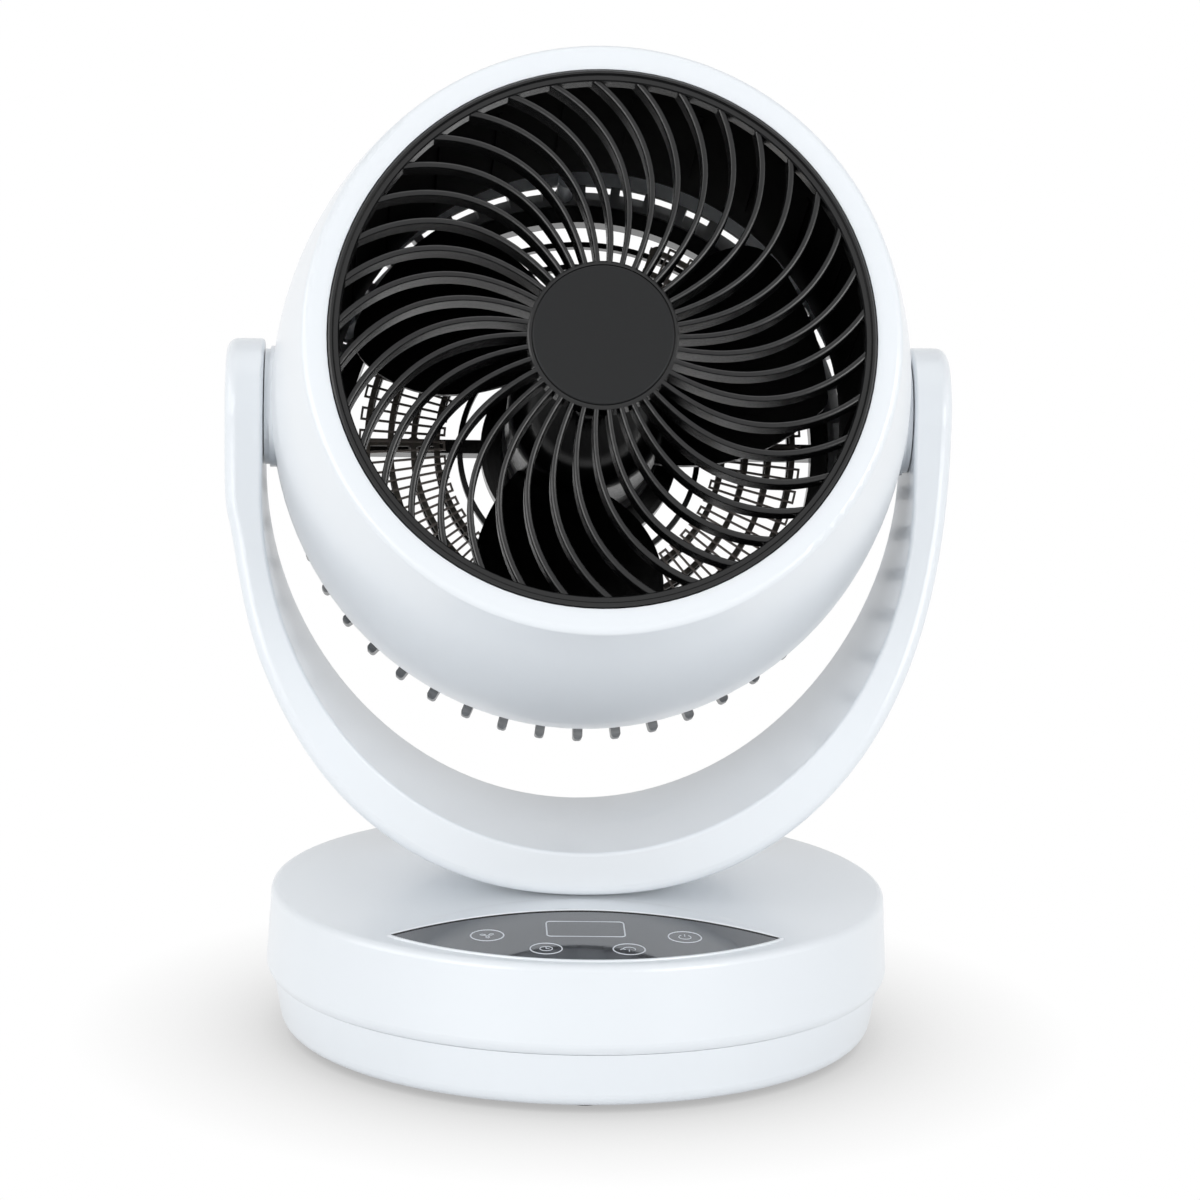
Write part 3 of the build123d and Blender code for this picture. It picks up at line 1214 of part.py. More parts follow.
def fan_motor():
    """The fan motor's can, end bosses and laminated belt."""
    low = GRID_REAR + GRID_HUB_THICKNESS + 2.0
    can = disc(MOTOR_RADIUS, low, MOTOR_FRONT)
    can = fillet(can.edges().group_by(Axis.Z)[-1], 3.0)
    can = fillet(can.edges().group_by(Axis.Z)[0], 2.0)
    belt = ring(MOTOR_RADIUS - 2, MOTOR_RADIUS + 1.4, low + 9, low + 19)
    nose = disc(MOTOR_BOSS_RADIUS, MOTOR_FRONT - 1, MOTOR_FRONT + 2.4)
    motor = join([can, belt, nose])
    slots = [
        Rot(0, 0, 60 * i + 30) * (Pos(MOTOR_RADIUS - 9, 0, MOTOR_FRONT) * Box(9.0, 3.0, 4.0)) for i in range(6)
    ]
    bore = disc(SHAFT_RADIUS + RUNNING_FIT, MOTOR_FRONT - 22, MOTOR_FRONT + 5)
    taps = [
        Pos(x, y, 0) * disc(SCREW_RADIUS + PILOT_GAP, low - 1, low + 6) for x, y in spots(4, motor_screw_circle(), 45)
    ]
    return cut(motor, slots + [bore] + taps)


def motor_grommets():
    """Four rubber rings between the motor and its plate."""
    low = GRID_REAR + GRID_HUB_THICKNESS
    one = ring(SCREW_RADIUS + FIT_GAP, 4.2, low, low + 2.0)
    return gather([Pos(x, y, 0) * one for x, y in spots(4, motor_screw_circle(), 45)])


def motor_screws():
    """Four screws through the plate and grommets into the motor."""
    return gather([
        Pos(x, y, GRID_REAR) * Rot(180, 0, 0) * screw(GRID_HUB_THICKNESS + 7.0)
        for x, y in spots(4, motor_screw_circle(), 45)
    ])


# Heating element

def carrier_radii():
    """Radii of the insulating rings that carry the wire."""
    first = GRID_RING_COUNT - CARRIER_RINGS
    return [grid_ring_radius(i) for i in range(first, GRID_RING_COUNT)]


def sector(inner, outer, low, high, start, sweep):
    """A part of a ring between two angles."""
    wide, tall = outer - inner, high - low
    face = Plane.XZ * Pos((inner + outer) / 2, (low + high) / 2) * Rectangle(wide, tall)
    return revolve(Rot(0, 0, start) * face, Axis.Z, sweep)


def heater_carrier(side):
    """A half frame of insulating rings on spokes and legs."""
    middle = 0 if side > 0 else 180
    start = middle - CARRIER_SWEEP / 2
    low, high = HEATER_AT - CARRIER_THICKNESS, HEATER_AT
    half = CARRIER_WIDTH / 2
    radii = carrier_radii()
    pieces = [sector(r - half, r + half, low, high, start, CARRIER_SWEEP) for r in radii]
    for angle in (middle - CARRIER_SWEEP / 2 + 1.2, middle, middle + CARRIER_SWEEP / 2 - 1.2):
        spoke = block((radii[0] - 1, radii[-1] + 1), (-1.3, 1.3), (low, high - 0.4))
        pieces.append(Rot(0, 0, angle) * spoke)
    foot = GRID_REAR + 1 + GRID_RING_DEPTH
    for angle in (middle - CARRIER_SWEEP / 2 + 2, middle + CARRIER_SWEEP / 2 - 2):
        for radius in (radii[0], radii[-1]):
            pieces.append(Pos(*polar(radius, angle), 0) * disc(CARRIER_LEG, foot, high - 0.4))
    strut_top = GRID_REAR + GRID_STRUT_DEPTH
    pieces.append(Pos(*polar(radii[1], middle), 0) * disc(CARRIER_LEG, strut_top, high - 0.4))
    return join(pieces)


def heater_wire(side):
    """A ribbon of resistance wire zigzagging across the carrier's rings."""
    middle = 0 if side > 0 else 180
    radii = carrier_radii()
    inner, outer = radii[0] - HEATER_OVERRUN, radii[-1] + HEATER_OVERRUN
    low, high = HEATER_AT, HEATER_AT + HEATER_WIRE
    half = HEATER_WIRE / 2
    count = int((CARRIER_SWEEP - 8) / HEATER_PITCH)
    count -= count % 2
    first = middle - HEATER_PITCH * count / 2
    bar = block((inner, outer), (-half, half), (low, high))
    pieces = [Rot(0, 0, first + HEATER_PITCH * i) * bar for i in range(count + 1)]
    for i in range(count):
        radius = outer - half if i % 2 else inner + half
        pieces.append(sector(radius - half, radius + half, low, high, first + HEATER_PITCH * i, HEATER_PITCH))
    return join(pieces)


def heater_terminals():
    """Four brass tabs at the ends of the wires."""
    radii = carrier_radii()
    tabs = []
    for side, middle in ((1, 0), (-1, 180)):
        for end in (-1, 1):
            angle = middle + end * (CARRIER_SWEEP / 2 - 0.6)
            at = radii[0] + GRID_RING_PITCH / 2
            tab = block(
                (at - TERMINAL_LENGTH / 2, at + TERMINAL_LENGTH / 2),
                (-TERMINAL_WIDTH / 2, TERMINAL_WIDTH / 2),
                (HEATER_AT, HEATER_AT + 0.8),
            )
            ear = block((at - 2.5, at + 2.5), (-TERMINAL_WIDTH / 2, -TERMINAL_WIDTH / 2 + 0.8), (HEATER_AT, HEATER_AT + 6))
            tabs.append(Rot(0, 0, angle) * (tab + ear))
    return gather(tabs)


def thermal_cutout():
    """The resettable cut-out on the left carrier's lower end."""
    radii = carrier_radii()
    at = radii[-1] - GRID_RING_PITCH / 2
    base = HEATER_AT
    case = block((at - CUTOUT_LENGTH / 2, at + CUTOUT_LENGTH / 2), (-CUTOUT_WIDTH / 2, CUTOUT_WIDTH / 2), (base, base + CUTOUT_HEIGHT))
    case = fillet(case.edges().filter_by(Axis.Z), 1.0)
    lid = Pos(at, 0, 0) * disc(2.8, base + CUTOUT_HEIGHT - 0.2, base + CUTOUT_HEIGHT + 1.0)
    return Rot(0, 0, 180 + CARRIER_SWEEP / 2 + 3.0) * (case + lid)


# Impeller

def blade_outline():
    """The blade seen from the front, in polar points joined by curves."""
    root = IMPELLER_HUB - 1.5
    low_edge = [polar(root, -20), polar(BLADE_TIP * 0.64, -5), polar(BLADE_TIP, 12)]
    high_edge = [polar(BLADE_TIP, 52), polar(BLADE_TIP * 0.70, 62), polar(root, 42)]
    edges = [
        Spline(*low_edge),
        CenterArc((0, 0), BLADE_TIP, 12, 40),
        Spline(*high_edge),
        Line(high_edge[-1], low_edge[0]),
    ]
    face = make_face(Curve() + edges)
    corners = sorted(face.vertices(), key=lambda v: hypot(v.X, v.Y))[-2:]
    upper = max(corners, key=lambda v: atan2(v.Y, v.X))
    lower = min(corners, key=lambda v: atan2(v.Y, v.X))
    face = fillet([upper], 15.0)
    lower = min(face.vertices(), key=lambda v: hypot(v.X - lower.X, v.Y - lower.Y))
    return fillet([lower], 6.0)


def blade():
    """A twisted blade: a thickened screw surface trimmed to its outline."""
    root, tip = IMPELLER_HUB - 3.0, BLADE_TIP + 4.0
    low_angle, high_angle = -26.0, 72.0
    steps = 5
    rise = (IMPELLER_DEPTH - 4.0) / BLADE_SWEEP_ANGLE
    sections = []
    for i in range(steps):
        angle = low_angle + (high_angle - low_angle) * i / (steps - 1)
        share = (angle - low_angle) / (high_angle - low_angle)
        height = IMPELLER_REAR + 2.0 + rise * (angle + 14.0) * (0.86 + 0.14 * share)
        height = height if angle > -14 else IMPELLER_REAR + 2.0 + rise * 0.86 * (angle + 14.0)
        c, s = cos(radians(angle)), sin(radians(angle))
        plane = Plane(origin=(0, 0, height), x_dir=(c, s, 0), z_dir=(s, -c, 0))
        a, b = BLADE_ROOT_THICKNESS / 2, BLADE_TIP_THICKNESS / 2
        sections.append(plane * make_face(Polyline((root, -a), (tip, -b), (tip, b), (root, a), close=True)))
    skin = loft(sections)
    trim = extrude(Pos(0, 0, IMPELLER_REAR - 20) * blade_outline(), 90)
    return skin & trim


def impeller():
    """The fan wheel: a hollow hub with a round nose and three broad blades."""
    top = IMPELLER_REAR + IMPELLER_DEPTH
    outer = disc(IMPELLER_HUB, IMPELLER_REAR, top + HUB_NOSE)
    outer = fillet(outer.edges().group_by(Axis.Z)[-1], HUB_NOSE + 3.0)
    room = disc(IMPELLER_HUB - HUB_SKIN, IMPELLER_REAR - 1, top - HUB_SKIN)
    boss = disc(SHAFT_RADIUS + 4.0, IMPELLER_REAR + 4, top)
    webs = [
        Rot(0, 0, 60 * i) * block((SHAFT_RADIUS + 2, IMPELLER_HUB - 1), (-0.9, 0.9), (IMPELLER_REAR + 12, top))
        for i in range(6)
    ]
    blades = [Rot(0, 0, 360 / BLADE_COUNT * i + BLADE_PHASE) * blade() for i in range(BLADE_COUNT)]
    wheel = join([outer - room, boss] + webs + blades)
    bore = disc(SHAFT_RADIUS + 0.03, IMPELLER_REAR - 5, top + HUB_NOSE + 5)
    seat = disc(NUT_RADIUS + 0.6, top + HUB_NOSE - 3.0, top + HUB_NOSE + 5)
    return cut(wheel, [bore, seat])


def motor_shaft():
    """The motor's shaft, through the impeller to its nut."""
    top = IMPELLER_REAR + IMPELLER_DEPTH + HUB_NOSE + 3.0
    rod = disc(SHAFT_RADIUS, MOTOR_FRONT - 21, top)
    return chamfer(rod.edges().group_by(Axis.Z)[-1], 0.6)


def impeller_nut():
    """The domed hand nut that holds the impeller."""
    low = IMPELLER_REAR + IMPELLER_DEPTH + HUB_NOSE - 3.0 + 0.1
    nut = disc(NUT_RADIUS, low, low + NUT_HEIGHT)
    nut = fillet(nut.edges().group_by(Axis.Z)[-1], 3.0)
    grips = [
        Rot(0, 0, 45 * i) * (Pos(NUT_RADIUS + 0.5, 0, 0) * disc(1.3, low - 1, low + NUT_HEIGHT + 1)) for i in range(8)
    ]
    bore = disc(SHAFT_RADIUS + 0.02, low - 1, IMPELLER_REAR + IMPELLER_DEPTH + HUB_NOSE + 3.1)
    return cut(nut, grips + [bore])


def build_base():
    """Every node of the base and its swivel drive."""
    save("base_upper_shell", base_upper_shell())
    save("base_lower_shell", base_lower_shell())
    save("rubber_feet", rubber_feet())
    save("base_screws", base_screws())
    save("ballast_plate", ballast_plate())
    save("control_panel_lens", control_panel_lens())
    save("panel_circuit_board", panel_circuit_board())
    save("panel_board_screws", panel_board_screws())
    save("display_module", display_module())
    save("touch_springs", touch_springs())
    save("power_board", power_board())
    save("power_board_screws", power_board_screws())
    save("tip_over_switch", tip_over_switch())
    save("cord_gland", cord_gland())
    save("swivel_motor", swivel_motor())
    save("swivel_motor_screws", swivel_motor_screws())
    save("turntable_bush", turntable_bush())
    save("swivel_pinion", swivel_pinion())


def build_yoke():
    """Every node of the yoke."""
    save("yoke_shell", yoke_shell())
    save("yoke_rear_cover", yoke_rear_cover())
    save("yoke_cover_screws", yoke_cover_screws())
    save("turntable_gear", turntable_gear())
    save("turntable_gear_screws", turntable_gear_screws())
    for name, side in PIVOTS:
        save(f"{name}_pivot_bush", pivot_bush(side))
        save(f"{name}_pivot_cap", pivot_cap(side))


def build_head():
    """Every node of the head and impeller, placed at the head's tilt."""
    nodes = {
        "head_shell": head_shell(),
        "front_grille": front_grille(),
        "grille_centre_cap": grille_centre_cap(),
        "air_duct": air_duct(),
        "duct_screws": duct_screws(),
        "rear_inner_grille": rear_inner_grille(),
        "rear_cover": rear_cover(),
        "rear_cover_screws": rear_cover_screws(),
        "fan_motor": fan_motor(),
        "motor_grommets": motor_grommets(),
        "motor_screws": motor_screws(),
        "heater_terminals": heater_terminals(),
        "thermal_cutout": thermal_cutout(),
        "trunnion_screws": trunnion_screws(),
        "impeller": impeller(),
        "motor_shaft": motor_shaft(),
        "impeller_nut": impeller_nut(),
    }
    for name, side in PIVOTS:
        nodes[f"{name}_trunnion"] = trunnion(side)
        nodes[f"{name}_friction_washer"] = friction_washer(side)
        nodes[f"{name}_pivot_nut"] = pivot_nut(side)
        nodes[f"{name}_heater_carrier"] = heater_carrier(side)
        nodes[f"{name}_heater_wire"] = heater_wire(side)
    for name, shape in nodes.items():
        save(name, HEAD_PLACE * shape)


build_base()
build_yoke()
build_head()
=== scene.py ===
"""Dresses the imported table-top fan heater: its studio, its finishes and its moulded details."""

import json
import logging
from dataclasses import dataclass, field
from enum import Enum
from math import asin, cos, radians, sin
from typing import Optional, Sequence

import bpy
from mathutils import Matrix, Vector


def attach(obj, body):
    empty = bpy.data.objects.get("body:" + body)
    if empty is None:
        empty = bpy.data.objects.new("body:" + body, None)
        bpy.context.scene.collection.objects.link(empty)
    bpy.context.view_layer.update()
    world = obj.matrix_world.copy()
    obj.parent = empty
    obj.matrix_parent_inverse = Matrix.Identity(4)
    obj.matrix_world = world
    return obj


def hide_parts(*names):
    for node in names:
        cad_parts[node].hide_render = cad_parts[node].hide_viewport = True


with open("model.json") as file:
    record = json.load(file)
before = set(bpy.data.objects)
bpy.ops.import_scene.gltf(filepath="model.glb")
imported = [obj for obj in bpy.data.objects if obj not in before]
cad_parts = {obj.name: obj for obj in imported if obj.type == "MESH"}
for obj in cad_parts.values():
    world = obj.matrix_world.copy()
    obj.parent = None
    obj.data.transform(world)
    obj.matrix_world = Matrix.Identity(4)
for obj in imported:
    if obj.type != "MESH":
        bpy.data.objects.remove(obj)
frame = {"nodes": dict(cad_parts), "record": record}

log = logging.getLogger("fan_heater")

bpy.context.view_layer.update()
MM = 0.001
Colour = tuple[float, float, float]


class Body(Enum):
    """The bodies that pieces ride on."""

    BASE = "base"
    PINION = "pinion"
    YOKE = "yoke"
    HEAD = "head"
    IMPELLER = "impeller"


# Shared surface effects


class EffectGroups:
    """Builds each shared shader effect once and hands out its node group."""

    def __init__(self) -> None:
        """Starts with no groups built."""
        self.built: dict[str, bpy.types.NodeTree] = {}

    def _start(self, name: str, inputs: dict[str, tuple], outputs: dict[str, str]) -> tuple:
        """Makes an empty group with its sockets.

        Args:
            name: The group's name.
            inputs: Socket name to socket type and starting value.
            outputs: Socket name to socket type.

        Returns:
            The group's tree, its input node and its output node.
        """
        tree = bpy.data.node_groups.new(name, "ShaderNodeTree")
        for label, (kind, value) in inputs.items():
            socket = tree.interface.new_socket(name=label, in_out="INPUT", socket_type=kind)
            socket.default_value = value
        for label, kind in outputs.items():
            tree.interface.new_socket(name=label, in_out="OUTPUT", socket_type=kind)
        entry = tree.nodes.new("NodeGroupInput")
        leave = tree.nodes.new("NodeGroupOutput")
        self.built[name] = tree
        return tree, entry, leave

    def moulded_grain(self) -> bpy.types.NodeTree:
        """A fine spark-eroded grain with a slow waviness, as a normal and a roughness.

        Returns:
            The node group.
        """
        if "moulded_grain" in self.built:
            return self.built["moulded_grain"]
        tree, entry, leave = self._start(
            "moulded_grain",
            {
                "Grain Size": ("NodeSocketFloat", 1800.0),
                "Grain Depth": ("NodeSocketFloat", 0.12),
                "Wave Depth": ("NodeSocketFloat", 0.05),
                "Roughness": ("NodeSocketFloat", 0.35),
                "Roughness Spread": ("NodeSocketFloat", 0.08),
            },
            {"Normal": "NodeSocketVector", "Roughness": "NodeSocketFloat"},
        )
        place = tree.nodes.new("ShaderNodeTexCoord")
        grain = tree.nodes.new("ShaderNodeTexNoise")
        grain.inputs["Detail"].default_value = 2.0
        wave = tree.nodes.new("ShaderNodeTexNoise")
        wave.inputs["Scale"].default_value = 22.0
        wave.inputs["Detail"].default_value = 1.0
        patches = tree.nodes.new("ShaderNodeTexNoise")
        patches.inputs["Scale"].default_value = 60.0
        patches.inputs["Detail"].default_value = 4.0
        fine = tree.nodes.new("ShaderNodeBump")
        fine.inputs["Distance"].default_value = 0.00012
        slow = tree.nodes.new("ShaderNodeBump")
        slow.inputs["Distance"].default_value = 0.0009
        spread = tree.nodes.new("ShaderNodeMath")
        spread.operation = "SUBTRACT"
        spread.inputs[1].default_value = 0.5
        scaled = tree.nodes.new("ShaderNodeMath")
        scaled.operation = "MULTIPLY_ADD"
        link = tree.links.new
        for texture in (grain, wave, patches):
            link(place.outputs["Object"], texture.inputs["Vector"])
        link(entry.outputs["Grain Size"], grain.inputs["Scale"])
        link(entry.outputs["Wave Depth"], slow.inputs["Strength"])
        link(wave.outputs["Fac"], slow.inputs["Height"])
        link(entry.outputs["Grain Depth"], fine.inputs["Strength"])
        link(grain.outputs["Fac"], fine.inputs["Height"])
        link(slow.outputs["Normal"], fine.inputs["Normal"])
        link(fine.outputs["Normal"], leave.inputs["Normal"])
        link(patches.outputs["Fac"], spread.inputs[0])
        link(spread.outputs[0], scaled.inputs[0])
        link(entry.outputs["Roughness Spread"], scaled.inputs[1])
        link(entry.outputs["Roughness"], scaled.inputs[2])
        link(scaled.outputs[0], leave.inputs["Roughness"])
        return tree

    def tone_drift(self) -> bpy.types.NodeTree:
        """A slow drift between two tones, with a little settled dust on what faces up.

        Returns:
            The node group.
        """
        if "tone_drift" in self.built:
            return self.built["tone_drift"]
        tree, entry, leave = self._start(
            "tone_drift",
            {
                "Tone": ("NodeSocketColor", (0.8, 0.8, 0.8, 1.0)),
                "Other Tone": ("NodeSocketColor", (0.7, 0.7, 0.7, 1.0)),
                "Patch Size": ("NodeSocketFloat", 14.0),
                "Dust": ("NodeSocketFloat", 0.0),
                "Dust Tone": ("NodeSocketColor", (0.6, 0.59, 0.57, 1.0)),
            },
            {"Color": "NodeSocketColor"},
        )
        place = tree.nodes.new("ShaderNodeTexCoord")
        drift = tree.nodes.new("ShaderNodeTexNoise")
        drift.inputs["Detail"].default_value = 3.0
        blend = tree.nodes.new("ShaderNodeMix")
        blend.data_type = "RGBA"
        specks = tree.nodes.new("ShaderNodeTexNoise")
        specks.inputs["Scale"].default_value = 900.0
        specks.inputs["Detail"].default_value = 5.0
        geometry = tree.nodes.new("ShaderNodeNewGeometry")
        split = tree.nodes.new("ShaderNodeSeparateXYZ")
        upward = tree.nodes.new("ShaderNodeMapRange")
        upward.inputs["From Min"].default_value = 0.6
        upward.inputs["From Max"].default_value = 1.0
        sparse = tree.nodes.new("ShaderNodeMapRange")
        sparse.inputs["From Min"].default_value = 0.48
        sparse.inputs["From Max"].default_value = 0.72
        both = tree.nodes.new("ShaderNodeMath")
        both.operation = "MULTIPLY"
        amount = tree.nodes.new("ShaderNodeMath")
        amount.operation = "MULTIPLY"
        dusted = tree.nodes.new("ShaderNodeMix")
        dusted.data_type = "RGBA"
        link = tree.links.new
        link(place.outputs["Object"], drift.inputs["Vector"])
        link(place.outputs["Object"], specks.inputs["Vector"])
        link(entry.outputs["Patch Size"], drift.inputs["Scale"])
        link(drift.outputs["Fac"], blend.inputs["Factor"])
        link(entry.outputs["Tone"], blend.inputs[6])
        link(entry.outputs["Other Tone"], blend.inputs[7])
        link(geometry.outputs["Normal"], split.inputs[0])
        link(split.outputs["Z"], upward.inputs["Value"])
        link(specks.outputs["Fac"], sparse.inputs["Value"])
        link(upward.outputs[0], both.inputs[0])
        link(sparse.outputs[0], both.inputs[1])
        link(both.outputs[0], amount.inputs[0])
        link(entry.outputs["Dust"], amount.inputs[1])
        link(amount.outputs[0], dusted.inputs["Factor"])
        link(blend.outputs[2], dusted.inputs[6])
        link(entry.outputs["Dust Tone"], dusted.inputs[7])
        link(dusted.outputs[2], leave.inputs["Color"])
        return tree

    def turned_marks(self) -> bpy.types.NodeTree:
        """Fine stretched marks, as drawn, rolled or turned metal has.

        Returns:
            The node group.
        """
        if "turned_marks" in self.built:
            return self.built["turned_marks"]
        tree, entry, leave = self._start(
            "turned_marks",
            {
                "Stretch": ("NodeSocketVector", (400.0, 400.0, 4000.0)),
                "Depth": ("NodeSocketFloat", 0.2),
                "Roughness": ("NodeSocketFloat", 0.3),
            },
            {
                "Normal": "NodeSocketVector",
                "Roughness": "NodeSocketFloat",
                "Mark": "NodeSocketFloat",
            },
        )
        place = tree.nodes.new("ShaderNodeTexCoord")
        pull = tree.nodes.new("ShaderNodeVectorMath")
        pull.operation = "MULTIPLY"
        marks = tree.nodes.new("ShaderNodeTexNoise")
        marks.inputs["Scale"].default_value = 1.0
        marks.inputs["Detail"].default_value = 3.0
        bump = tree.nodes.new("ShaderNodeBump")
        bump.inputs["Distance"].default_value = 0.0001
        rough = tree.nodes.new("ShaderNodeMath")
        rough.operation = "MULTIPLY_ADD"
        rough.inputs[1].default_value = 0.18
        link = tree.links.new
        link(place.outputs["Object"], pull.inputs[0])
        link(entry.outputs["Stretch"], pull.inputs[1])
        link(pull.outputs[0], marks.inputs["Vector"])
        link(marks.outputs["Fac"], bump.inputs["Height"])
        link(entry.outputs["Depth"], bump.inputs["Strength"])
        link(bump.outputs["Normal"], leave.inputs["Normal"])
        link(marks.outputs["Fac"], rough.inputs[0])
        link(entry.outputs["Roughness"], rough.inputs[2])
        link(rough.outputs[0], leave.inputs["Roughness"])
        link(marks.outputs["Fac"], leave.inputs["Mark"])
        return tree


EFFECTS = EffectGroups()


def place_group(
    tree: bpy.types.NodeTree, group: bpy.types.NodeTree, values: dict
) -> bpy.types.Node:
    """Puts a shared effect into a material.

    Args:
        tree: The material's node tree.
        group: The effect's node group.
        values: Socket name to value for this material.

    Returns:
        The group node.
    """
    node = tree.nodes.new("ShaderNodeGroup")
    node.node_tree = group
    for label, value in values.items():
        node.inputs[label].default_value = value
    return node


def blank_material(name: str) -> tuple[bpy.types.Material, bpy.types.Node]:
    """Makes a material with one Principled BSDF.

    Args:
        name: The material's name.

    Returns:
        The material and its shader node.
    """
    material = bpy.data.materials.new(name)
    material.use_nodes = True
    tree = material.node_tree
    tree.nodes.clear()
    shader = tree.nodes.new("ShaderNodeBsdfPrincipled")
    output = tree.nodes.new("ShaderNodeOutputMaterial")
    tree.links.new(shader.outputs["BSDF"], output.inputs["Surface"])
    return material, shader


def rgba(colour: Colour) -> tuple[float, float, float, float]:
    """A colour with full opacity."""
    return (*colour, 1.0)


@dataclass(frozen=True)
class MouldedPlastic:
    """Injection-moulded plastic: grain, slow sink waves and a drift of tone."""

    name: str
    tone: Colour
    other_tone: Colour
    roughness: float = 0.35
    roughness_spread: float = 0.08
    grain_size: float = 1800.0
    grain_depth: float = 0.12
    wave_depth: float = 0.05
    patch_size: float = 14.0
    dust: float = 0.0
    coat: float = 0.0
    coat_roughness: float = 0.1
    specular: float = 0.5
    subsurface: float = 0.0

    def material(self) -> bpy.types.Material:
        """Builds the finish as a Blender material.

        Returns:
            The material.
        """
        material, shader = blank_material(self.name)
        tree = material.node_tree
        grain = place_group(
            tree,
            EFFECTS.moulded_grain(),
            {
                "Grain Size": self.grain_size,
                "Grain Depth": self.grain_depth,
                "Wave Depth": self.wave_depth,
                "Roughness": self.roughness,
                "Roughness Spread": self.roughness_spread,
            },
        )
        tone = place_group(
            tree,
            EFFECTS.tone_drift(),
            {
                "Tone": rgba(self.tone),
                "Other Tone": rgba(self.other_tone),
                "Patch Size": self.patch_size,
                "Dust": self.dust,
            },
        )
        tree.links.new(tone.outputs["Color"], shader.inputs["Base Color"])
        tree.links.new(grain.outputs["Normal"], shader.inputs["Normal"])
        tree.links.new(grain.outputs["Roughness"], shader.inputs["Roughness"])
        shader.inputs["Coat Weight"].default_value = self.coat
        shader.inputs["Coat Roughness"].default_value = self.coat_roughness
        shader.inputs["Specular IOR Level"].default_value = self.specular
        shader.inputs["Subsurface Weight"].default_value = self.subsurface
        return material


@dataclass(frozen=True)
class WorkedMetal:
    """Drawn, rolled or plated metal with fine directional marks."""

    name: str
    tone: Colour
    other_tone: Colour
    roughness: float = 0.25
    stretch: tuple[float, float, float] = (500.0, 500.0, 5000.0)
    depth: float = 0.2
    metallic: float = 1.0

    def material(self) -> bpy.types.Material:
        """Builds the finish as a Blender material.

        Returns:
            The material.
        """
        material, shader = blank_material(self.name)
        tree = material.node_tree
        marks = place_group(
            tree,
            EFFECTS.turned_marks(),
            {"Stretch": self.stretch, "Depth": self.depth, "Roughness": self.roughness},
        )
        blend = tree.nodes.new("ShaderNodeMix")
        blend.data_type = "RGBA"
        blend.inputs[6].default_value = rgba(self.tone)
        blend.inputs[7].default_value = rgba(self.other_tone)
        tree.links.new(marks.outputs["Mark"], blend.inputs["Factor"])
        tree.links.new(blend.outputs[2], shader.inputs["Base Color"])
        tree.links.new(marks.outputs["Normal"], shader.inputs["Normal"])
        tree.links.new(marks.outputs["Roughness"], shader.inputs["Roughness"])
        shader.inputs["Metallic"].default_value = self.metallic
        return material


@dataclass(frozen=True)
class PanelGlass:
    """The smoked gloss lens over the touch pads."""

    name: str
    tone: Colour
    other_tone: Colour
    roughness: float = 0.07
    roughness_spread: float = 0.03
    grain_size: float = 420.0
    grain_depth: float = 0.02
    wave_depth: float = 0.05
    patch_size: float = 30.0
    dust: float = 0.04
    coat: float = 0.6
    coat_roughness: float = 0.03
    specular: float = 0.32

    def material(self) -> bpy.types.Material:
        """Builds the lens finish.

        Returns:
            The material.
        """
        material, shader = blank_material(self.name)
        tree = material.node_tree
        grain = place_group(
            tree,
            EFFECTS.moulded_grain(),
            {
                "Grain Size": self.grain_size,
                "Grain Depth": self.grain_depth,
                "Wave Depth": self.wave_depth,
                "Roughness": self.roughness,
                "Roughness Spread": self.roughness_spread,
            },
        )
        tone = place_group(
            tree,
            EFFECTS.tone_drift(),
            {
                "Tone": rgba(self.tone),
                "Other Tone": rgba(self.other_tone),
                "Patch Size": self.patch_size,
                "Dust": self.dust,
            },
        )
        tree.links.new(tone.outputs["Color"], shader.inputs["Base Color"])
        tree.links.new(grain.outputs["Normal"], shader.inputs["Normal"])
        tree.links.new(grain.outputs["Roughness"], shader.inputs["Roughness"])
        shader.inputs["Coat Weight"].default_value = self.coat
        shader.inputs["Coat Roughness"].default_value = self.coat_roughness
        shader.inputs["Specular IOR Level"].default_value = self.specular
        return material


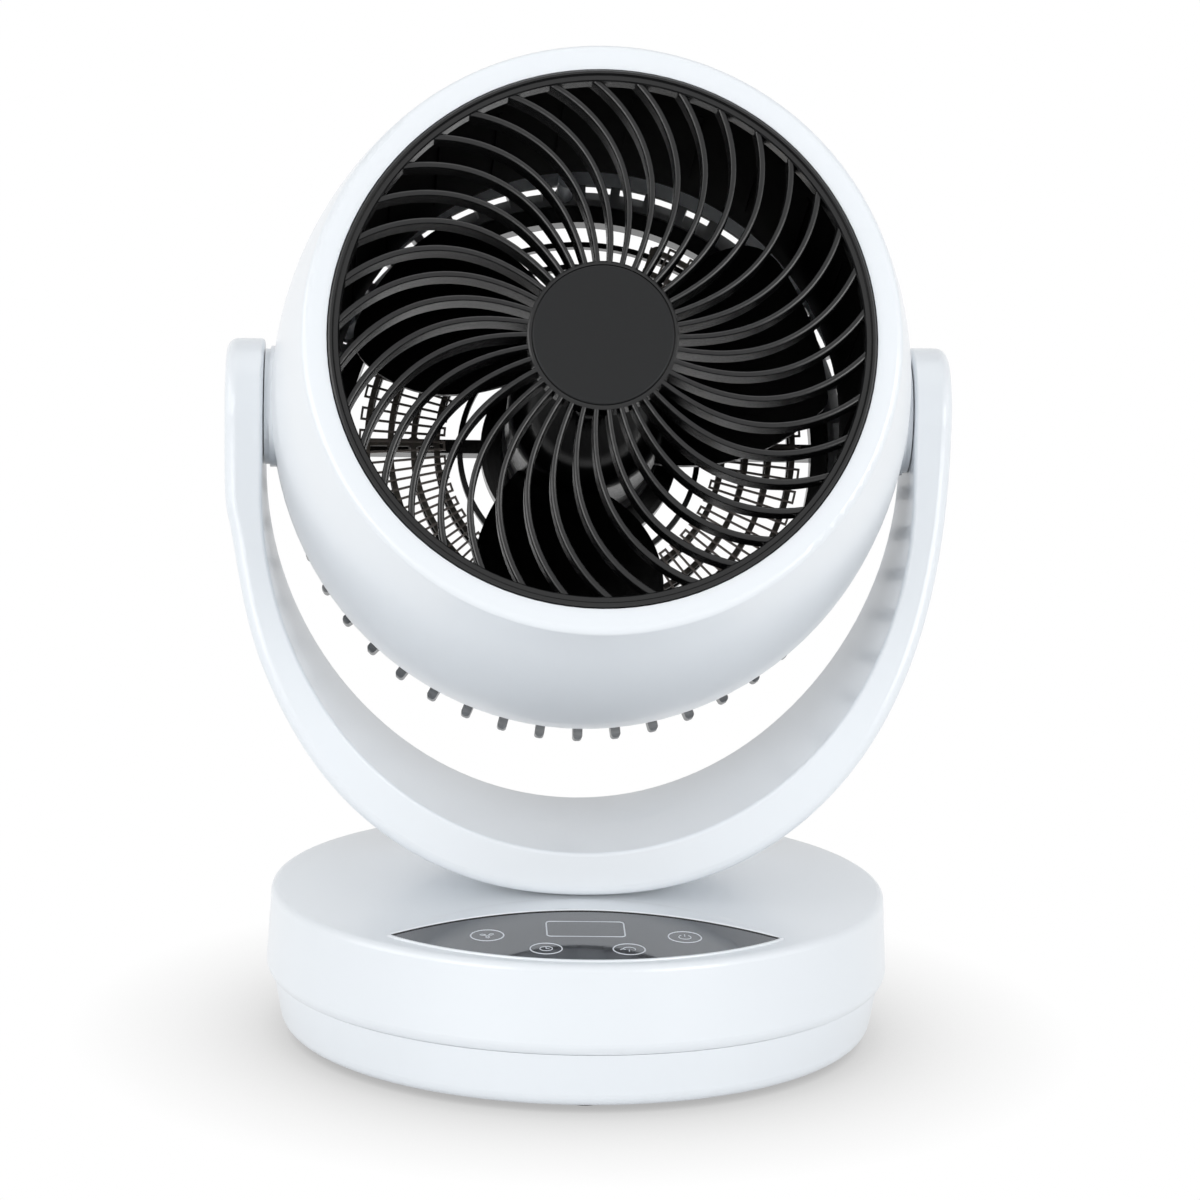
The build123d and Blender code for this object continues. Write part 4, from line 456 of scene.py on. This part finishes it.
class Finishes:
    """Every finish of the heater, built once."""

    def __init__(self) -> None:
        """Builds the materials by the record's slot names and a few of their own."""
        made = [
            MouldedPlastic(
                name="white_shell", tone=(0.83, 0.86, 0.89), other_tone=(0.80, 0.83, 0.865),
                roughness=0.30, roughness_spread=0.05, grain_size=2600.0, grain_depth=0.035,
                wave_depth=0.03, patch_size=9.0, dust=0.03, coat=0.25, coat_roughness=0.12,
            ),
            MouldedPlastic(
                name="black_plastic", tone=(0.0048, 0.0050, 0.0054),
                other_tone=(0.0036, 0.0037, 0.0040), roughness=0.25, roughness_spread=0.06,
                grain_size=2200.0, grain_depth=0.07, wave_depth=0.05, patch_size=20.0, dust=0.01,
                coat=0.0, coat_roughness=0.1, specular=0.48,
            ),
            MouldedPlastic(
                name="black_duct", tone=(0.0022, 0.0022, 0.0023),
                other_tone=(0.0014, 0.0014, 0.0015), roughness=0.90, roughness_spread=0.08,
                grain_size=1500.0, grain_depth=0.12, wave_depth=0.08, patch_size=20.0, dust=0.0,
                coat=0.0, coat_roughness=0.1, specular=0.04,
            ),
            MouldedPlastic(
                name="centre_disc", tone=(0.0100, 0.0105, 0.0112),
                other_tone=(0.0085, 0.0089, 0.0096), roughness=0.52, roughness_spread=0.06,
                grain_size=3200.0, grain_depth=0.28, wave_depth=0.02, patch_size=30.0, dust=0.01,
                coat=0.0, coat_roughness=0.1, specular=0.24,
            ),
            # Rear cover: partly its own grey, partly painted light. The tone is raised so the fins
            # lying in the shell's shade still read light.
            MouldedPlastic(
                name="rear_grey_with_painted_light", tone=(0.235, 0.236, 0.238), other_tone=(0.205, 0.206, 0.209),
                roughness=0.34, roughness_spread=0.08, grain_size=2200.0, grain_depth=0.10,
                wave_depth=0.05, patch_size=20.0, dust=0.02, coat=0.0, coat_roughness=0.1,
                specular=0.5,
            ),
            MouldedPlastic(
                name="grey_plastic", tone=(0.16, 0.17, 0.18), other_tone=(0.135, 0.145, 0.155),
                roughness=0.45, roughness_spread=0.08, grain_size=1800.0, grain_depth=0.10,
                wave_depth=0.05, patch_size=12.0, dust=0.03,
            ),
            MouldedPlastic(
                name="rubber", tone=(0.02, 0.02, 0.02), other_tone=(0.03, 0.03, 0.03),
                roughness=0.75, roughness_spread=0.1, grain_size=1300.0, grain_depth=0.3,
                wave_depth=0.1, patch_size=40.0, dust=0.15,
            ),
            MouldedPlastic(
                name="natural_plastic", tone=(0.72, 0.70, 0.62), other_tone=(0.68, 0.65, 0.56),
                roughness=0.4, roughness_spread=0.08, grain_size=1500.0, grain_depth=0.08,
                wave_depth=0.04, patch_size=30.0, dust=0.0, coat=0.0, coat_roughness=0.1,
                specular=0.5, subsurface=0.06,
            ),
            MouldedPlastic(
                name="circuit_board", tone=(0.012, 0.10, 0.04), other_tone=(0.010, 0.075, 0.03),
                roughness=0.35, roughness_spread=0.1, grain_size=700.0, grain_depth=0.15,
                wave_depth=0.02, patch_size=160.0, dust=0.03, coat=0.4, coat_roughness=0.15,
            ),
            MouldedPlastic(
                name="mica", tone=(0.26, 0.23, 0.19), other_tone=(0.13, 0.115, 0.10),
                roughness=0.5, roughness_spread=0.15, grain_size=500.0, grain_depth=0.25,
                wave_depth=0.1, patch_size=320.0, dust=0.05,
            ),
            MouldedPlastic(
                name="display", tone=(0.012, 0.012, 0.014), other_tone=(0.02, 0.02, 0.024),
                roughness=0.12, roughness_spread=0.04, grain_size=400.0, grain_depth=0.02,
                wave_depth=0.02, patch_size=60.0,
            ),
            MouldedPlastic(
                name="motor_can", tone=(0.035, 0.036, 0.04), other_tone=(0.028, 0.028, 0.03),
                roughness=0.4, roughness_spread=0.1, grain_size=1400.0, grain_depth=0.18,
                wave_depth=0.06, patch_size=40.0, dust=0.05, coat=0.3, coat_roughness=0.2,
            ),
            MouldedPlastic(
                name="panel_print", tone=(0.75, 0.78, 0.82), other_tone=(0.68, 0.71, 0.76),
                roughness=0.4, roughness_spread=0.05, grain_size=900.0, grain_depth=0.05,
                wave_depth=0.0, patch_size=80.0,
            ),
            WorkedMetal(
                name="steel", tone=(0.56, 0.56, 0.57), other_tone=(0.44, 0.44, 0.45),
                roughness=0.28,
            ),
            WorkedMetal(
                name="zinc_steel", tone=(0.68, 0.69, 0.72), other_tone=(0.58, 0.60, 0.64),
                roughness=0.22, stretch=(900.0, 900.0, 900.0), depth=0.12,
            ),
            WorkedMetal(
                name="brass", tone=(0.72, 0.52, 0.21), other_tone=(0.60, 0.42, 0.16),
                roughness=0.25,
            ),
            WorkedMetal(
                name="aluminium_can", tone=(0.74, 0.75, 0.76), other_tone=(0.62, 0.63, 0.65),
                roughness=0.32, stretch=(300.0, 300.0, 6000.0), depth=0.25,
            ),
            WorkedMetal(
                name="heating_ribbon", tone=(0.33, 0.30, 0.28), other_tone=(0.20, 0.17, 0.155),
                roughness=0.35, stretch=(2000.0, 2000.0, 2000.0), depth=0.3,
            ),
            PanelGlass(
                name="dark_lens", tone=(0.020, 0.021, 0.026), other_tone=(0.026, 0.027, 0.033),
            ),
        ]
        self.by_name = {finish.name: finish.material() for finish in made}

    def give(self, name: str) -> bpy.types.Material:
        """The material of that name."""
        return self.by_name[name]


def dress_node(node: str, material: bpy.types.Material) -> None:
    """Gives a carried-over CAD node its finish.

    Args:
        node: The CAD node's name.
        material: The finish.
    """
    piece = frame["nodes"][node]
    piece.data.materials.clear()
    piece.data.materials.append(material)
    log.info("dressed %s in %s", node, material.name)


# Modelling


class Bench:
    """Small operator-based steps that every new piece is modelled with."""

    @staticmethod
    def clear() -> None:
        """Leaves edit mode and deselects everything."""
        if bpy.context.object and bpy.context.object.mode != "OBJECT":
            bpy.ops.object.mode_set(mode="OBJECT")
        bpy.ops.object.select_all(action="DESELECT")

    @staticmethod
    def take(piece: bpy.types.Object) -> None:
        """Makes one piece the only selected and active one."""
        Bench.clear()
        piece.select_set(True)
        bpy.context.view_layer.objects.active = piece

    @staticmethod
    def settle(piece: bpy.types.Object) -> None:
        """Moves a piece's place into its mesh."""
        Bench.take(piece)
        bpy.ops.object.transform_apply(location=True, rotation=True, scale=True)

    @staticmethod
    def apply_all(piece: bpy.types.Object) -> None:
        """Applies every modifier of a piece, in order."""
        Bench.take(piece)
        for modifier in list(piece.modifiers):
            bpy.ops.object.modifier_apply(modifier=modifier.name)

    @staticmethod
    def join(pieces: Sequence[bpy.types.Object], name: str) -> bpy.types.Object:
        """Joins several meshes into the first one.

        Args:
            pieces: The meshes.
            name: The joined piece's name.

        Returns:
            The joined piece.
        """
        Bench.clear()
        for piece in pieces:
            piece.select_set(True)
        bpy.context.view_layer.objects.active = pieces[0]
        if len(pieces) > 1:
            bpy.ops.object.join()
        pieces[0].name = name
        return pieces[0]

    @staticmethod
    def face_out(piece: bpy.types.Object, merge: float = 0.000001) -> None:
        """Merges doubled points and turns every face outwards.

        Args:
            piece: The piece.
            merge: The distance below which points are one.
        """
        Bench.take(piece)
        bpy.ops.object.mode_set(mode="EDIT")
        bpy.ops.mesh.select_all(action="SELECT")
        bpy.ops.mesh.remove_doubles(threshold=merge)
        bpy.ops.mesh.normals_make_consistent(inside=False)
        bpy.ops.object.mode_set(mode="OBJECT")

    @staticmethod
    def bead(points: Sequence[Vector], width: float, closed: bool = False) -> bpy.types.Object:
        """A thin raised line of round section through points.

        Args:
            points: The line's points, in metres.
            width: The line's width.
            closed: Whether it comes back to its start.

        Returns:
            The line as a mesh.
        """
        Bench.clear()
        curve = bpy.data.curves.new("bead", "CURVE")
        curve.dimensions = "3D"
        spline = curve.splines.new("POLY")
        spline.points.add(len(points) - 1)
        for spot, place in zip(spline.points, points):
            spot.co = (*place, 1.0)
        spline.use_cyclic_u = closed
        curve.bevel_depth = width / 2
        curve.bevel_resolution = 1
        curve.use_fill_caps = True
        piece = bpy.data.objects.new("bead", curve)
        bpy.context.scene.collection.objects.link(piece)
        Bench.take(piece)
        bpy.ops.object.convert(target="MESH")
        return bpy.context.object

    @staticmethod
    def smooth(piece: bpy.types.Object, angle: float = 35.0) -> None:
        """Shades a piece smooth up to an angle in degrees."""
        Bench.take(piece)
        bpy.ops.object.shade_smooth_by_angle(angle=radians(angle))

    @staticmethod
    def deliver(
        piece: bpy.types.Object,
        name: str,
        body: Body,
        material: bpy.types.Material,
        slot: Optional[str] = None,
        stands_for: Sequence[str] = (),
    ) -> bpy.types.Object:
        """Names, dresses and mounts a finished piece.

        Args:
            piece: The finished piece.
            name: Its name.
            body: The body it rides on.
            material: Its finish.
            slot: The record's material slot that it takes its finish from. Not used.
            stands_for: The CAD nodes that it stands for.

        Returns:
            The piece.
        """
        Bench.settle(piece)
        piece.name = name
        piece.data.name = name
        piece.data.materials.clear()
        piece.data.materials.append(material)
        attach(piece, body.value)
        if stands_for:
            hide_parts(*stands_for)
        log.info("built %s: %d faces, rides on %s", name, len(piece.data.polygons), body.value)
        return piece

    @staticmethod
    def height_on(target: bpy.types.Object, x: float, y: float) -> float:
        """How high a CAD piece's top lies at a place in plan.

        Args:
            target: The CAD piece.
            x: Where, to the right.
            y: Where, to the back.

        Returns:
            The height in metres, or zero where the piece isn't.
        """
        hit, place, _, _ = target.ray_cast(Vector((x, y, 0.5)), Vector((0, 0, -1)))
        return place.z if hit else 0.0


class TouchMark(Enum):
    """The generic signs inside the four touch rings."""

    POWER = "power"
    TIMER = "timer"
    SWING = "swing"
    MODE = "mode"


@dataclass(frozen=True)
class PanelOutline:
    """The eye-shaped window of the control panel: two arcs that meet at the tips."""

    tip_x: float = 66.4 * MM
    tip_y: float = -74.5 * MM
    rear_y: float = -52.4 * MM
    front_y: float = -103.1 * MM

    def arc(self, middle_y: float, steps: int, grown: float = 0.0) -> list[tuple[float, float]]:
        """Points of the arc from the left tip to the right one.

        Args:
            middle_y: Where the arc crosses the middle line.
            steps: How many runs it has.
            grown: How far outwards it is moved.

        Returns:
            Plan points in metres.
        """
        rise = middle_y - self.tip_y
        radius = (self.tip_x**2 + rise**2) / (2 * abs(rise))
        side = 1.0 if rise > 0 else -1.0
        centre_y = middle_y - side * radius
        half = asin(min(self.tip_x / radius, 1.0))
        turns = [half * (2 * i / steps - 1) for i in range(steps + 1)]
        reach = radius + grown
        return [(reach * sin(a), centre_y + side * reach * cos(a)) for a in turns]

    def loop(self, steps: int, grown: float) -> list[tuple[float, float]]:
        """The closed outline, moved outwards or inwards, with its tips rounded.

        Args:
            steps: How many runs each arc has.
            grown: How far outwards it is moved.

        Returns:
            Plan points in metres.
        """
        rear = self.arc(self.rear_y, steps, grown)
        front = self.arc(self.front_y, steps, grown)
        keep = [i for i in range(steps + 1) if abs(rear[i][0]) < self.tip_x - 2.2 * MM + grown]
        reach, turn = self.tip_x - 0.5 * MM + grown, 0.45 * MM
        right = [(reach, self.tip_y + turn), (reach, self.tip_y - turn)]
        left = [(-x, y) for x, y in reversed(right)]
        return [rear[i] for i in keep] + right + [front[i] for i in reversed(keep)] + left


@dataclass
class ControlPanel:
    """What lies on the smoked lens: a strip at its rear, a lip, a dark bead of painted gap shade
    and the printing.
    """

    outline: PanelOutline = PanelOutline()
    cad_rear_y: float = -39.0 * MM
    outer_pad: tuple[float, float] = (33.4 * MM, -77.3 * MM)
    inner_pad: tuple[float, float] = (13.9 * MM, -91.2 * MM)
    outer_radius: float = 5.6 * MM
    inner_radius: float = 5.35 * MM
    line: float = 0.55 * MM
    sign_line: float = 0.42 * MM
    display_half: tuple[float, float] = (13.2 * MM, 7.6 * MM)
    display_y: float = -71.2 * MM
    display_corner: float = 1.6 * MM
    sink: float = 0.10 * MM
    strip_rise: float = 0.22 * MM
    strip_sink: float = 0.08 * MM
    strip_overlap: float = 0.9 * MM
    strip_thickness: float = 0.3 * MM
    loop_steps: int = 72
    lip_out: float = 0.65 * MM
    lip_sink: float = 0.2 * MM
    # gap_in, gap_sink and shadow_width place the dark bead of painted shade in the fine gap round
    # the lens.
    gap_in: float = 0.3 * MM
    gap_sink: float = 0.12 * MM
    lip_width: float = 1.6 * MM
    shadow_width: float = 0.75 * MM

    def height(self, x: float, y: float) -> float:
        """How high the base's top lies at a place in plan, across the lens's fine gap.

        Args:
            x: Where, to the right.
            y: Where, to the back.

        Returns:
            The height in metres.
        """
        targets = [frame["nodes"][node] for node in ("base_upper_shell", "control_panel_lens")]
        spots = [(x, y), (x + 0.4 * MM, y), (x - 0.4 * MM, y), (x, y + 0.4 * MM), (x, y - 0.4 * MM)]
        return max(Bench.height_on(target, *spot) for target in targets for spot in spots)

    def arc(
        self, radius: float, start: float, end: float, steps: int = 14
    ) -> list[tuple[float, float]]:
        """Plan points of an arc about the origin, angles in degrees."""
        spread = [radians(start + (end - start) * i / steps) for i in range(steps + 1)]
        return [(radius * cos(a), radius * sin(a)) for a in spread]

    def sign(self, mark: TouchMark) -> list[list[tuple[float, float]]]:
        """The strokes of one sign, about its own middle.

        Args:
            mark: Which sign.

        Returns:
            Lists of plan points in metres.
        """
        r = 2.1 * MM
        match mark:
            case TouchMark.POWER:
                return [self.arc(r, 125, 415), [(0, 0.5 * MM), (0, 2.6 * MM)]]
            case TouchMark.TIMER:
                return [self.arc(r, 0, 360, 20), [(0, 0), (0, 1.5 * MM)], [(0, 0), (1.1 * MM, 0)]]
            case TouchMark.SWING:
                arrow = [(-3.0 * MM, -0.5 * MM), (-2.1 * MM, 0.5 * MM), (-1.2 * MM, -0.3 * MM)]
                return [self.arc(r, 180, -20), arrow, [(0, -2.1 * MM), (0, -0.6 * MM)]]
        blade = [(0.35, 0.2), (1.3, 0.2), (2.2, 0.9), (2.0, 1.7), (1.0, 1.5), (0.35, 0.2)]
        turned = []
        for third in range(3):
            c, s = cos(radians(120 * third)), sin(radians(120 * third))
            turned.append([((x * c - y * s) * MM, (x * s + y * c) * MM) for x, y in blade])
        return turned

    def frame_line(self) -> list[tuple[float, float]]:
        """The rounded outline of the display window, in plan.

        Returns:
            Its points in metres.
        """
        half_x, half_y = self.display_half
        inner_x, inner_y = half_x - self.display_corner, half_y - self.display_corner
        points = []
        for cx, cy, first in ((1, 1, 0), (-1, 1, 90), (-1, -1, 180), (1, -1, 270)):
            for u, v in self.arc(self.display_corner, first, first + 90, 6):
                points.append((cx * inner_x + u, self.display_y + cy * inner_y + v))
        return points

    def pads(self) -> list[tuple[float, float, float, TouchMark]]:
        """Each pad's middle, ring radius and sign."""
        (ox, oy), (ix, iy) = self.outer_pad, self.inner_pad
        return [
            (-ox, oy, self.outer_radius, TouchMark.MODE),
            (-ix, iy, self.inner_radius, TouchMark.TIMER),
            (ix, iy, self.inner_radius, TouchMark.SWING),
            (ox, oy, self.outer_radius, TouchMark.POWER),
        ]

    def laid(self, points: Sequence[tuple[float, float]], rise: float = 0.0) -> list[Vector]:
        """Plan points laid on the base's top, raised or sunk a little."""
        return [Vector((x, y, self.height(x, y) + rise)) for x, y in points]

    def build_strip(self, finishes: "Finishes") -> None:
        """Makes the thin white strip that narrows the window at its rear edge.

        Args:
            finishes: The finishes to take.
        """
        runs, rows = 96, 5
        outer = self.outline.arc(self.cad_rear_y, runs, self.strip_overlap)
        inner = self.outline.arc(self.outline.rear_y, runs)
        Bench.clear()
        bpy.ops.mesh.primitive_grid_add(x_subdivisions=runs, y_subdivisions=rows, size=2.0)
        strip = bpy.context.object
        for vertex in strip.data.vertices:
            across = (vertex.co.y + 1) / 2
            run = round((vertex.co.x + 1) / 2 * runs)
            x = inner[run][0] * (1 - across) + outer[run][0] * across
            y = inner[run][1] * (1 - across) + outer[run][1] * across
            rise = self.strip_rise if across < 0.95 else -self.strip_sink
            vertex.co = (x, y, self.height(x, y) + rise)
        thick = strip.modifiers.new("thickness", "SOLIDIFY")
        thick.thickness = self.strip_thickness
        thick.offset = -1.0
        Bench.apply_all(strip)
        Bench.face_out(strip)
        Bench.smooth(strip, 40.0)
        white = finishes.give("white_shell")
        Bench.deliver(strip, "panel_surround", Body.BASE, white, "white_shell")

    def build_lips(self, finishes: "Finishes") -> None:
        """Makes the raised white lip round the window and, inside it, a dark bead that paints in
        the shade of the fine gap.

        Args:
            finishes: The finishes to take.
        """
        lip_line = self.laid(self.outline.loop(self.loop_steps, self.lip_out), -self.lip_sink)
        lip = Bench.bead(lip_line, self.lip_width, closed=True)
        Bench.smooth(lip, 60.0)
        Bench.deliver(lip, "panel_lip", Body.BASE, finishes.give("white_shell"), "white_shell")
        # Painted shade: a dark rubber-finished bead in the fine gap round the lens stands in for
        # the gap's shadow.
        gap_line = self.laid(self.outline.loop(self.loop_steps, -self.gap_in), -self.gap_sink)
        gap = Bench.bead(gap_line, self.shadow_width, closed=True)
        Bench.smooth(gap, 60.0)
        Bench.deliver(gap, "panel_gap_shade", Body.BASE, finishes.give("rubber"), "rubber")

    def build_marks(self, finishes: "Finishes") -> None:
        """Makes the printed rings, signs and display frame.

        Args:
            finishes: The finishes to take.
        """
        marks = []
        for x, y, radius, mark in self.pads():
            circle = [(x + u, y + v) for u, v in self.arc(radius, 0, 360, 56)[:-1]]
            marks.append(Bench.bead(self.laid(circle, -self.sink), self.line, closed=True))
            for line in self.sign(mark):
                stroke = [(x + u, y + v) for u, v in line]
                marks.append(Bench.bead(self.laid(stroke, -self.sink), self.sign_line))
        marks.append(Bench.bead(self.laid(self.frame_line(), -self.sink), self.line, closed=True))
        print_layer = Bench.join(marks, "panel_marks")
        Bench.deliver(print_layer, "panel_marks", Body.BASE, finishes.give("panel_print"))

    def build(self, finishes: "Finishes") -> None:
        """Makes everything on the lens."""
        self.build_strip(finishes)
        self.build_lips(finishes)
        self.build_marks(finishes)


@dataclass
class SubAssembly:
    """The CAD nodes of one body, with the finishes that differ from their slots."""

    body: Body
    special: dict[str, str] = field(default_factory=dict)

    def dress(self, finishes: "Finishes") -> None:
        """Gives every node of the body its finish.

        Args:
            finishes: The finishes to take.
        """
        slots = {part["node"]: part["material_slot"] for part in frame["record"]["subparts"]}
        for node in frame["record"]["behaviour"]["bodies"][self.body.value]:
            dress_node(node, finishes.give(self.special.get(node, slots[node])))

    def build(self, finishes: "Finishes") -> None:
        """Dresses the body; sub-assemblies with pieces of their own add them here."""
        self.dress(finishes)


@dataclass
class Base(SubAssembly):
    """The drum that stands on the table, with its control panel."""

    body: Body = Body.BASE
    panel: ControlPanel = field(default_factory=ControlPanel)

    def build(self, finishes: "Finishes") -> None:
        """Dresses the drum and makes its panel."""
        self.dress(finishes)
        self.panel.build(finishes)


@dataclass
class SwivelPinion(SubAssembly):
    """The small gear that turns the yoke."""

    body: Body = Body.PINION


@dataclass
class Yoke(SubAssembly):
    """The two-armed yoke that carries the head."""

    body: Body = Body.YOKE


@dataclass
class Head(SubAssembly):
    """The tilting head: shell, grille, duct, heater and rear cover."""

    body: Body = Body.HEAD
    special: dict[str, str] = field(
        default_factory=lambda: {
            "air_duct": "black_duct",
            "grille_centre_cap": "centre_disc",
            # The rear cover's grey is partly painted light on its shaded fins.
            "rear_cover": "rear_grey_with_painted_light",
            "left_heater_wire": "heating_ribbon",
            "right_heater_wire": "heating_ribbon",
        }
    )


@dataclass
class Impeller(SubAssembly):
    """The spinning impeller with its shaft and nut."""

    body: Body = Body.IMPELLER


# The studio


@dataclass(frozen=True)
class Lamp:
    """A soft square lamp that looks at the heater."""

    name: str
    place: tuple[float, float, float]
    watts: float
    side: float
    mirrored: bool = True


LAMPS = (
    Lamp("front_right_light", (1.3, -1.6, 0.5), watts=15.2, side=1.0),
    Lamp("front_left_light", (-1.3, -1.6, 0.5), watts=12.2, side=1.0),
    Lamp("right_light", (1.8, -0.5, 0.7), watts=4.4, side=1.2),
    Lamp("left_light", (-1.8, -0.5, 0.7), watts=8.7, side=1.2),
    Lamp("top_light", (0.0, 0.0, 2.0), watts=7.4, side=1.5),
    Lamp("back_light", (0.3, 1.9, 0.7), watts=5.0, side=1.2, mirrored=False),
)


@dataclass
class Studio:
    """The pale floor, the soft lights and the camera at the photograph's angle."""

    azimuth: float = 2.6
    elevation: float = 10.8
    roll: float = 1.2
    distance: float = 1.5
    lens: float = 128.25
    aim: tuple[float, float, float] = (0.0, 0.0, 0.1551)
    aim_right: float = 0.0058
    sensor_width: float = 36.0
    nearest: float = 0.05
    farthest: float = 40.0
    floor_size: float = 12.0
    floor_colour: Colour = (0.86, 0.87, 0.88)
    # Painted contact shadow on the floor: how far it reaches, how dark it gets and how finely it is
    # sampled.
    painted_shadow_reach: float = 0.075
    painted_shadow_tone: float = 0.42
    painted_shadow_samples: int = 12
    world_level: float = 0.39
    world_colour: Colour = (0.93, 0.965, 1.0)
    lamp_colour: Colour = (1.0, 0.995, 0.985)
    lamp_aim_height: float = 0.18

    @staticmethod
    def split_by_ray(
        tree: bpy.types.NodeTree, lit: bpy.types.Node, shown: bpy.types.Node, output: bpy.types.Node
    ) -> None:
        """Shows one shader to the eye and to glossy surfaces, and another one as light.

        Args:
            tree: The tree of the floor's or the world's nodes.
            lit: The shader for every other ray.
            shown: The shader for camera, glossy and transmission rays.
            output: The tree's output.
        """
        rays = tree.nodes.new("ShaderNodeLightPath")
        seen = tree.nodes.new("ShaderNodeMath")
        seen.operation = "MAXIMUM"
        through = tree.nodes.new("ShaderNodeMath")
        through.operation = "MAXIMUM"
        mix = tree.nodes.new("ShaderNodeMixShader")
        link = tree.links.new
        link(rays.outputs["Is Camera Ray"], seen.inputs[0])
        link(rays.outputs["Is Glossy Ray"], seen.inputs[1])
        link(seen.outputs[0], through.inputs[0])
        link(rays.outputs["Is Transmission Ray"], through.inputs[1])
        link(through.outputs[0], mix.inputs["Fac"])
        link(lit.outputs[0], mix.inputs[1])
        link(shown.outputs[0], mix.inputs[2])
        link(mix.outputs[0], output.inputs["Surface"])

    def build_floor(self) -> None:
        """Makes the floor, which shows white to the eye, with a soft contact shadow painted in from
        ambient occlusion.
        """
        bpy.ops.mesh.primitive_plane_add(size=self.floor_size, location=(0, 0, 0))
        floor = bpy.context.object
        floor.name = "studio_floor"
        material = bpy.data.materials.new("studio_floor")
        material.use_nodes = True
        tree = material.node_tree
        tree.nodes.clear()
        output = tree.nodes.new("ShaderNodeOutputMaterial")
        shown = tree.nodes.new("ShaderNodeEmission")
        lit = tree.nodes.new("ShaderNodeBsdfDiffuse")
        lit.inputs["Color"].default_value = rgba(self.floor_colour)
        # Painted shadow: ambient occlusion darkens the white that the eye sees on the floor near
        # the heater.
        painted_shadow_ao = tree.nodes.new("ShaderNodeAmbientOcclusion")
        painted_shadow_ao.inputs["Distance"].default_value = self.painted_shadow_reach
        painted_shadow_ao.samples = self.painted_shadow_samples
        ramp = tree.nodes.new("ShaderNodeMapRange")
        ramp.inputs["From Min"].default_value = 0.0
        ramp.inputs["From Max"].default_value = 1.0
        ramp.inputs["To Min"].default_value = self.painted_shadow_tone
        ramp.inputs["To Max"].default_value = 1.0
        link = tree.links.new
        link(painted_shadow_ao.outputs["AO"], ramp.inputs["Value"])
        link(ramp.outputs[0], shown.inputs["Color"])
        self.split_by_ray(tree, lit, shown, output)
        floor.data.materials.append(material)

    def build_world(self) -> None:
        """Makes the pale surroundings: white where seen, softer as light."""
        world = bpy.data.worlds.new("studio")
        bpy.context.scene.world = world
        world.use_nodes = True
        tree = world.node_tree
        tree.nodes.clear()
        output = tree.nodes.new("ShaderNodeOutputWorld")
        white = tree.nodes.new("ShaderNodeBackground")
        white.inputs["Color"].default_value = (1, 1, 1, 1)
        white.inputs["Strength"].default_value = 1.0
        soft = tree.nodes.new("ShaderNodeBackground")
        soft.inputs["Color"].default_value = rgba(self.world_colour)
        soft.inputs["Strength"].default_value = self.world_level
        self.split_by_ray(tree, soft, white, output)

    def hang(self, lamp: Lamp) -> None:
        """Hangs one lamp.

        Args:
            lamp: Its place, power and size, and whether glossy surfaces mirror it.
        """
        data = bpy.data.lights.new(lamp.name, "AREA")
        data.energy = lamp.watts
        data.size = lamp.side
        data.color = self.lamp_colour
        holder = bpy.data.objects.new(lamp.name, data)
        holder.location = lamp.place
        aim = Vector((0, 0, self.lamp_aim_height)) - Vector(lamp.place)
        holder.rotation_euler = aim.to_track_quat("-Z", "Y").to_euler()
        if not lamp.mirrored:
            holder.visible_glossy = False
        bpy.context.scene.collection.objects.link(holder)

    def build_camera(self) -> None:
        """Puts the camera where the photograph was taken from."""
        az, el = radians(self.azimuth), radians(self.elevation)
        right = Vector((cos(az), -sin(az), 0.0))
        back = Vector((-sin(az) * cos(el), -cos(az) * cos(el), sin(el)))
        up = back.cross(right)
        turn = radians(self.roll)
        side = right * cos(turn) + up * sin(turn)
        top = up * cos(turn) - right * sin(turn)
        data = bpy.data.cameras.new("photo_camera")
        data.lens = self.lens
        data.sensor_width = self.sensor_width
        data.clip_start, data.clip_end = self.nearest, self.farthest
        camera = bpy.data.objects.new("photo_camera", data)
        spot = Vector(self.aim) + right * self.aim_right + back * self.distance
        basis = Matrix((side, top, back)).transposed().to_4x4()
        camera.matrix_world = Matrix.Translation(spot) @ basis
        bpy.context.scene.collection.objects.link(camera)
        bpy.context.scene.camera = camera

    def build(self) -> None:
        """Builds the whole studio."""
        self.build_floor()
        self.build_world()
        for lamp in LAMPS:
            self.hang(lamp)
        self.build_camera()
        bpy.context.scene.view_settings.view_transform = "Standard"


def main() -> None:
    """Builds the studio, then the heater, sub-assembly by sub-assembly."""
    logging.basicConfig(level=logging.INFO, format="%(message)s")
    finishes = Finishes()
    Studio().build()
    for part in (Base(), SwivelPinion(), Yoke(), Head(), Impeller()):
        log.info("sub-assembly %s", part.body.value)
        part.build(finishes)


if __name__ == "__main__":
    main()
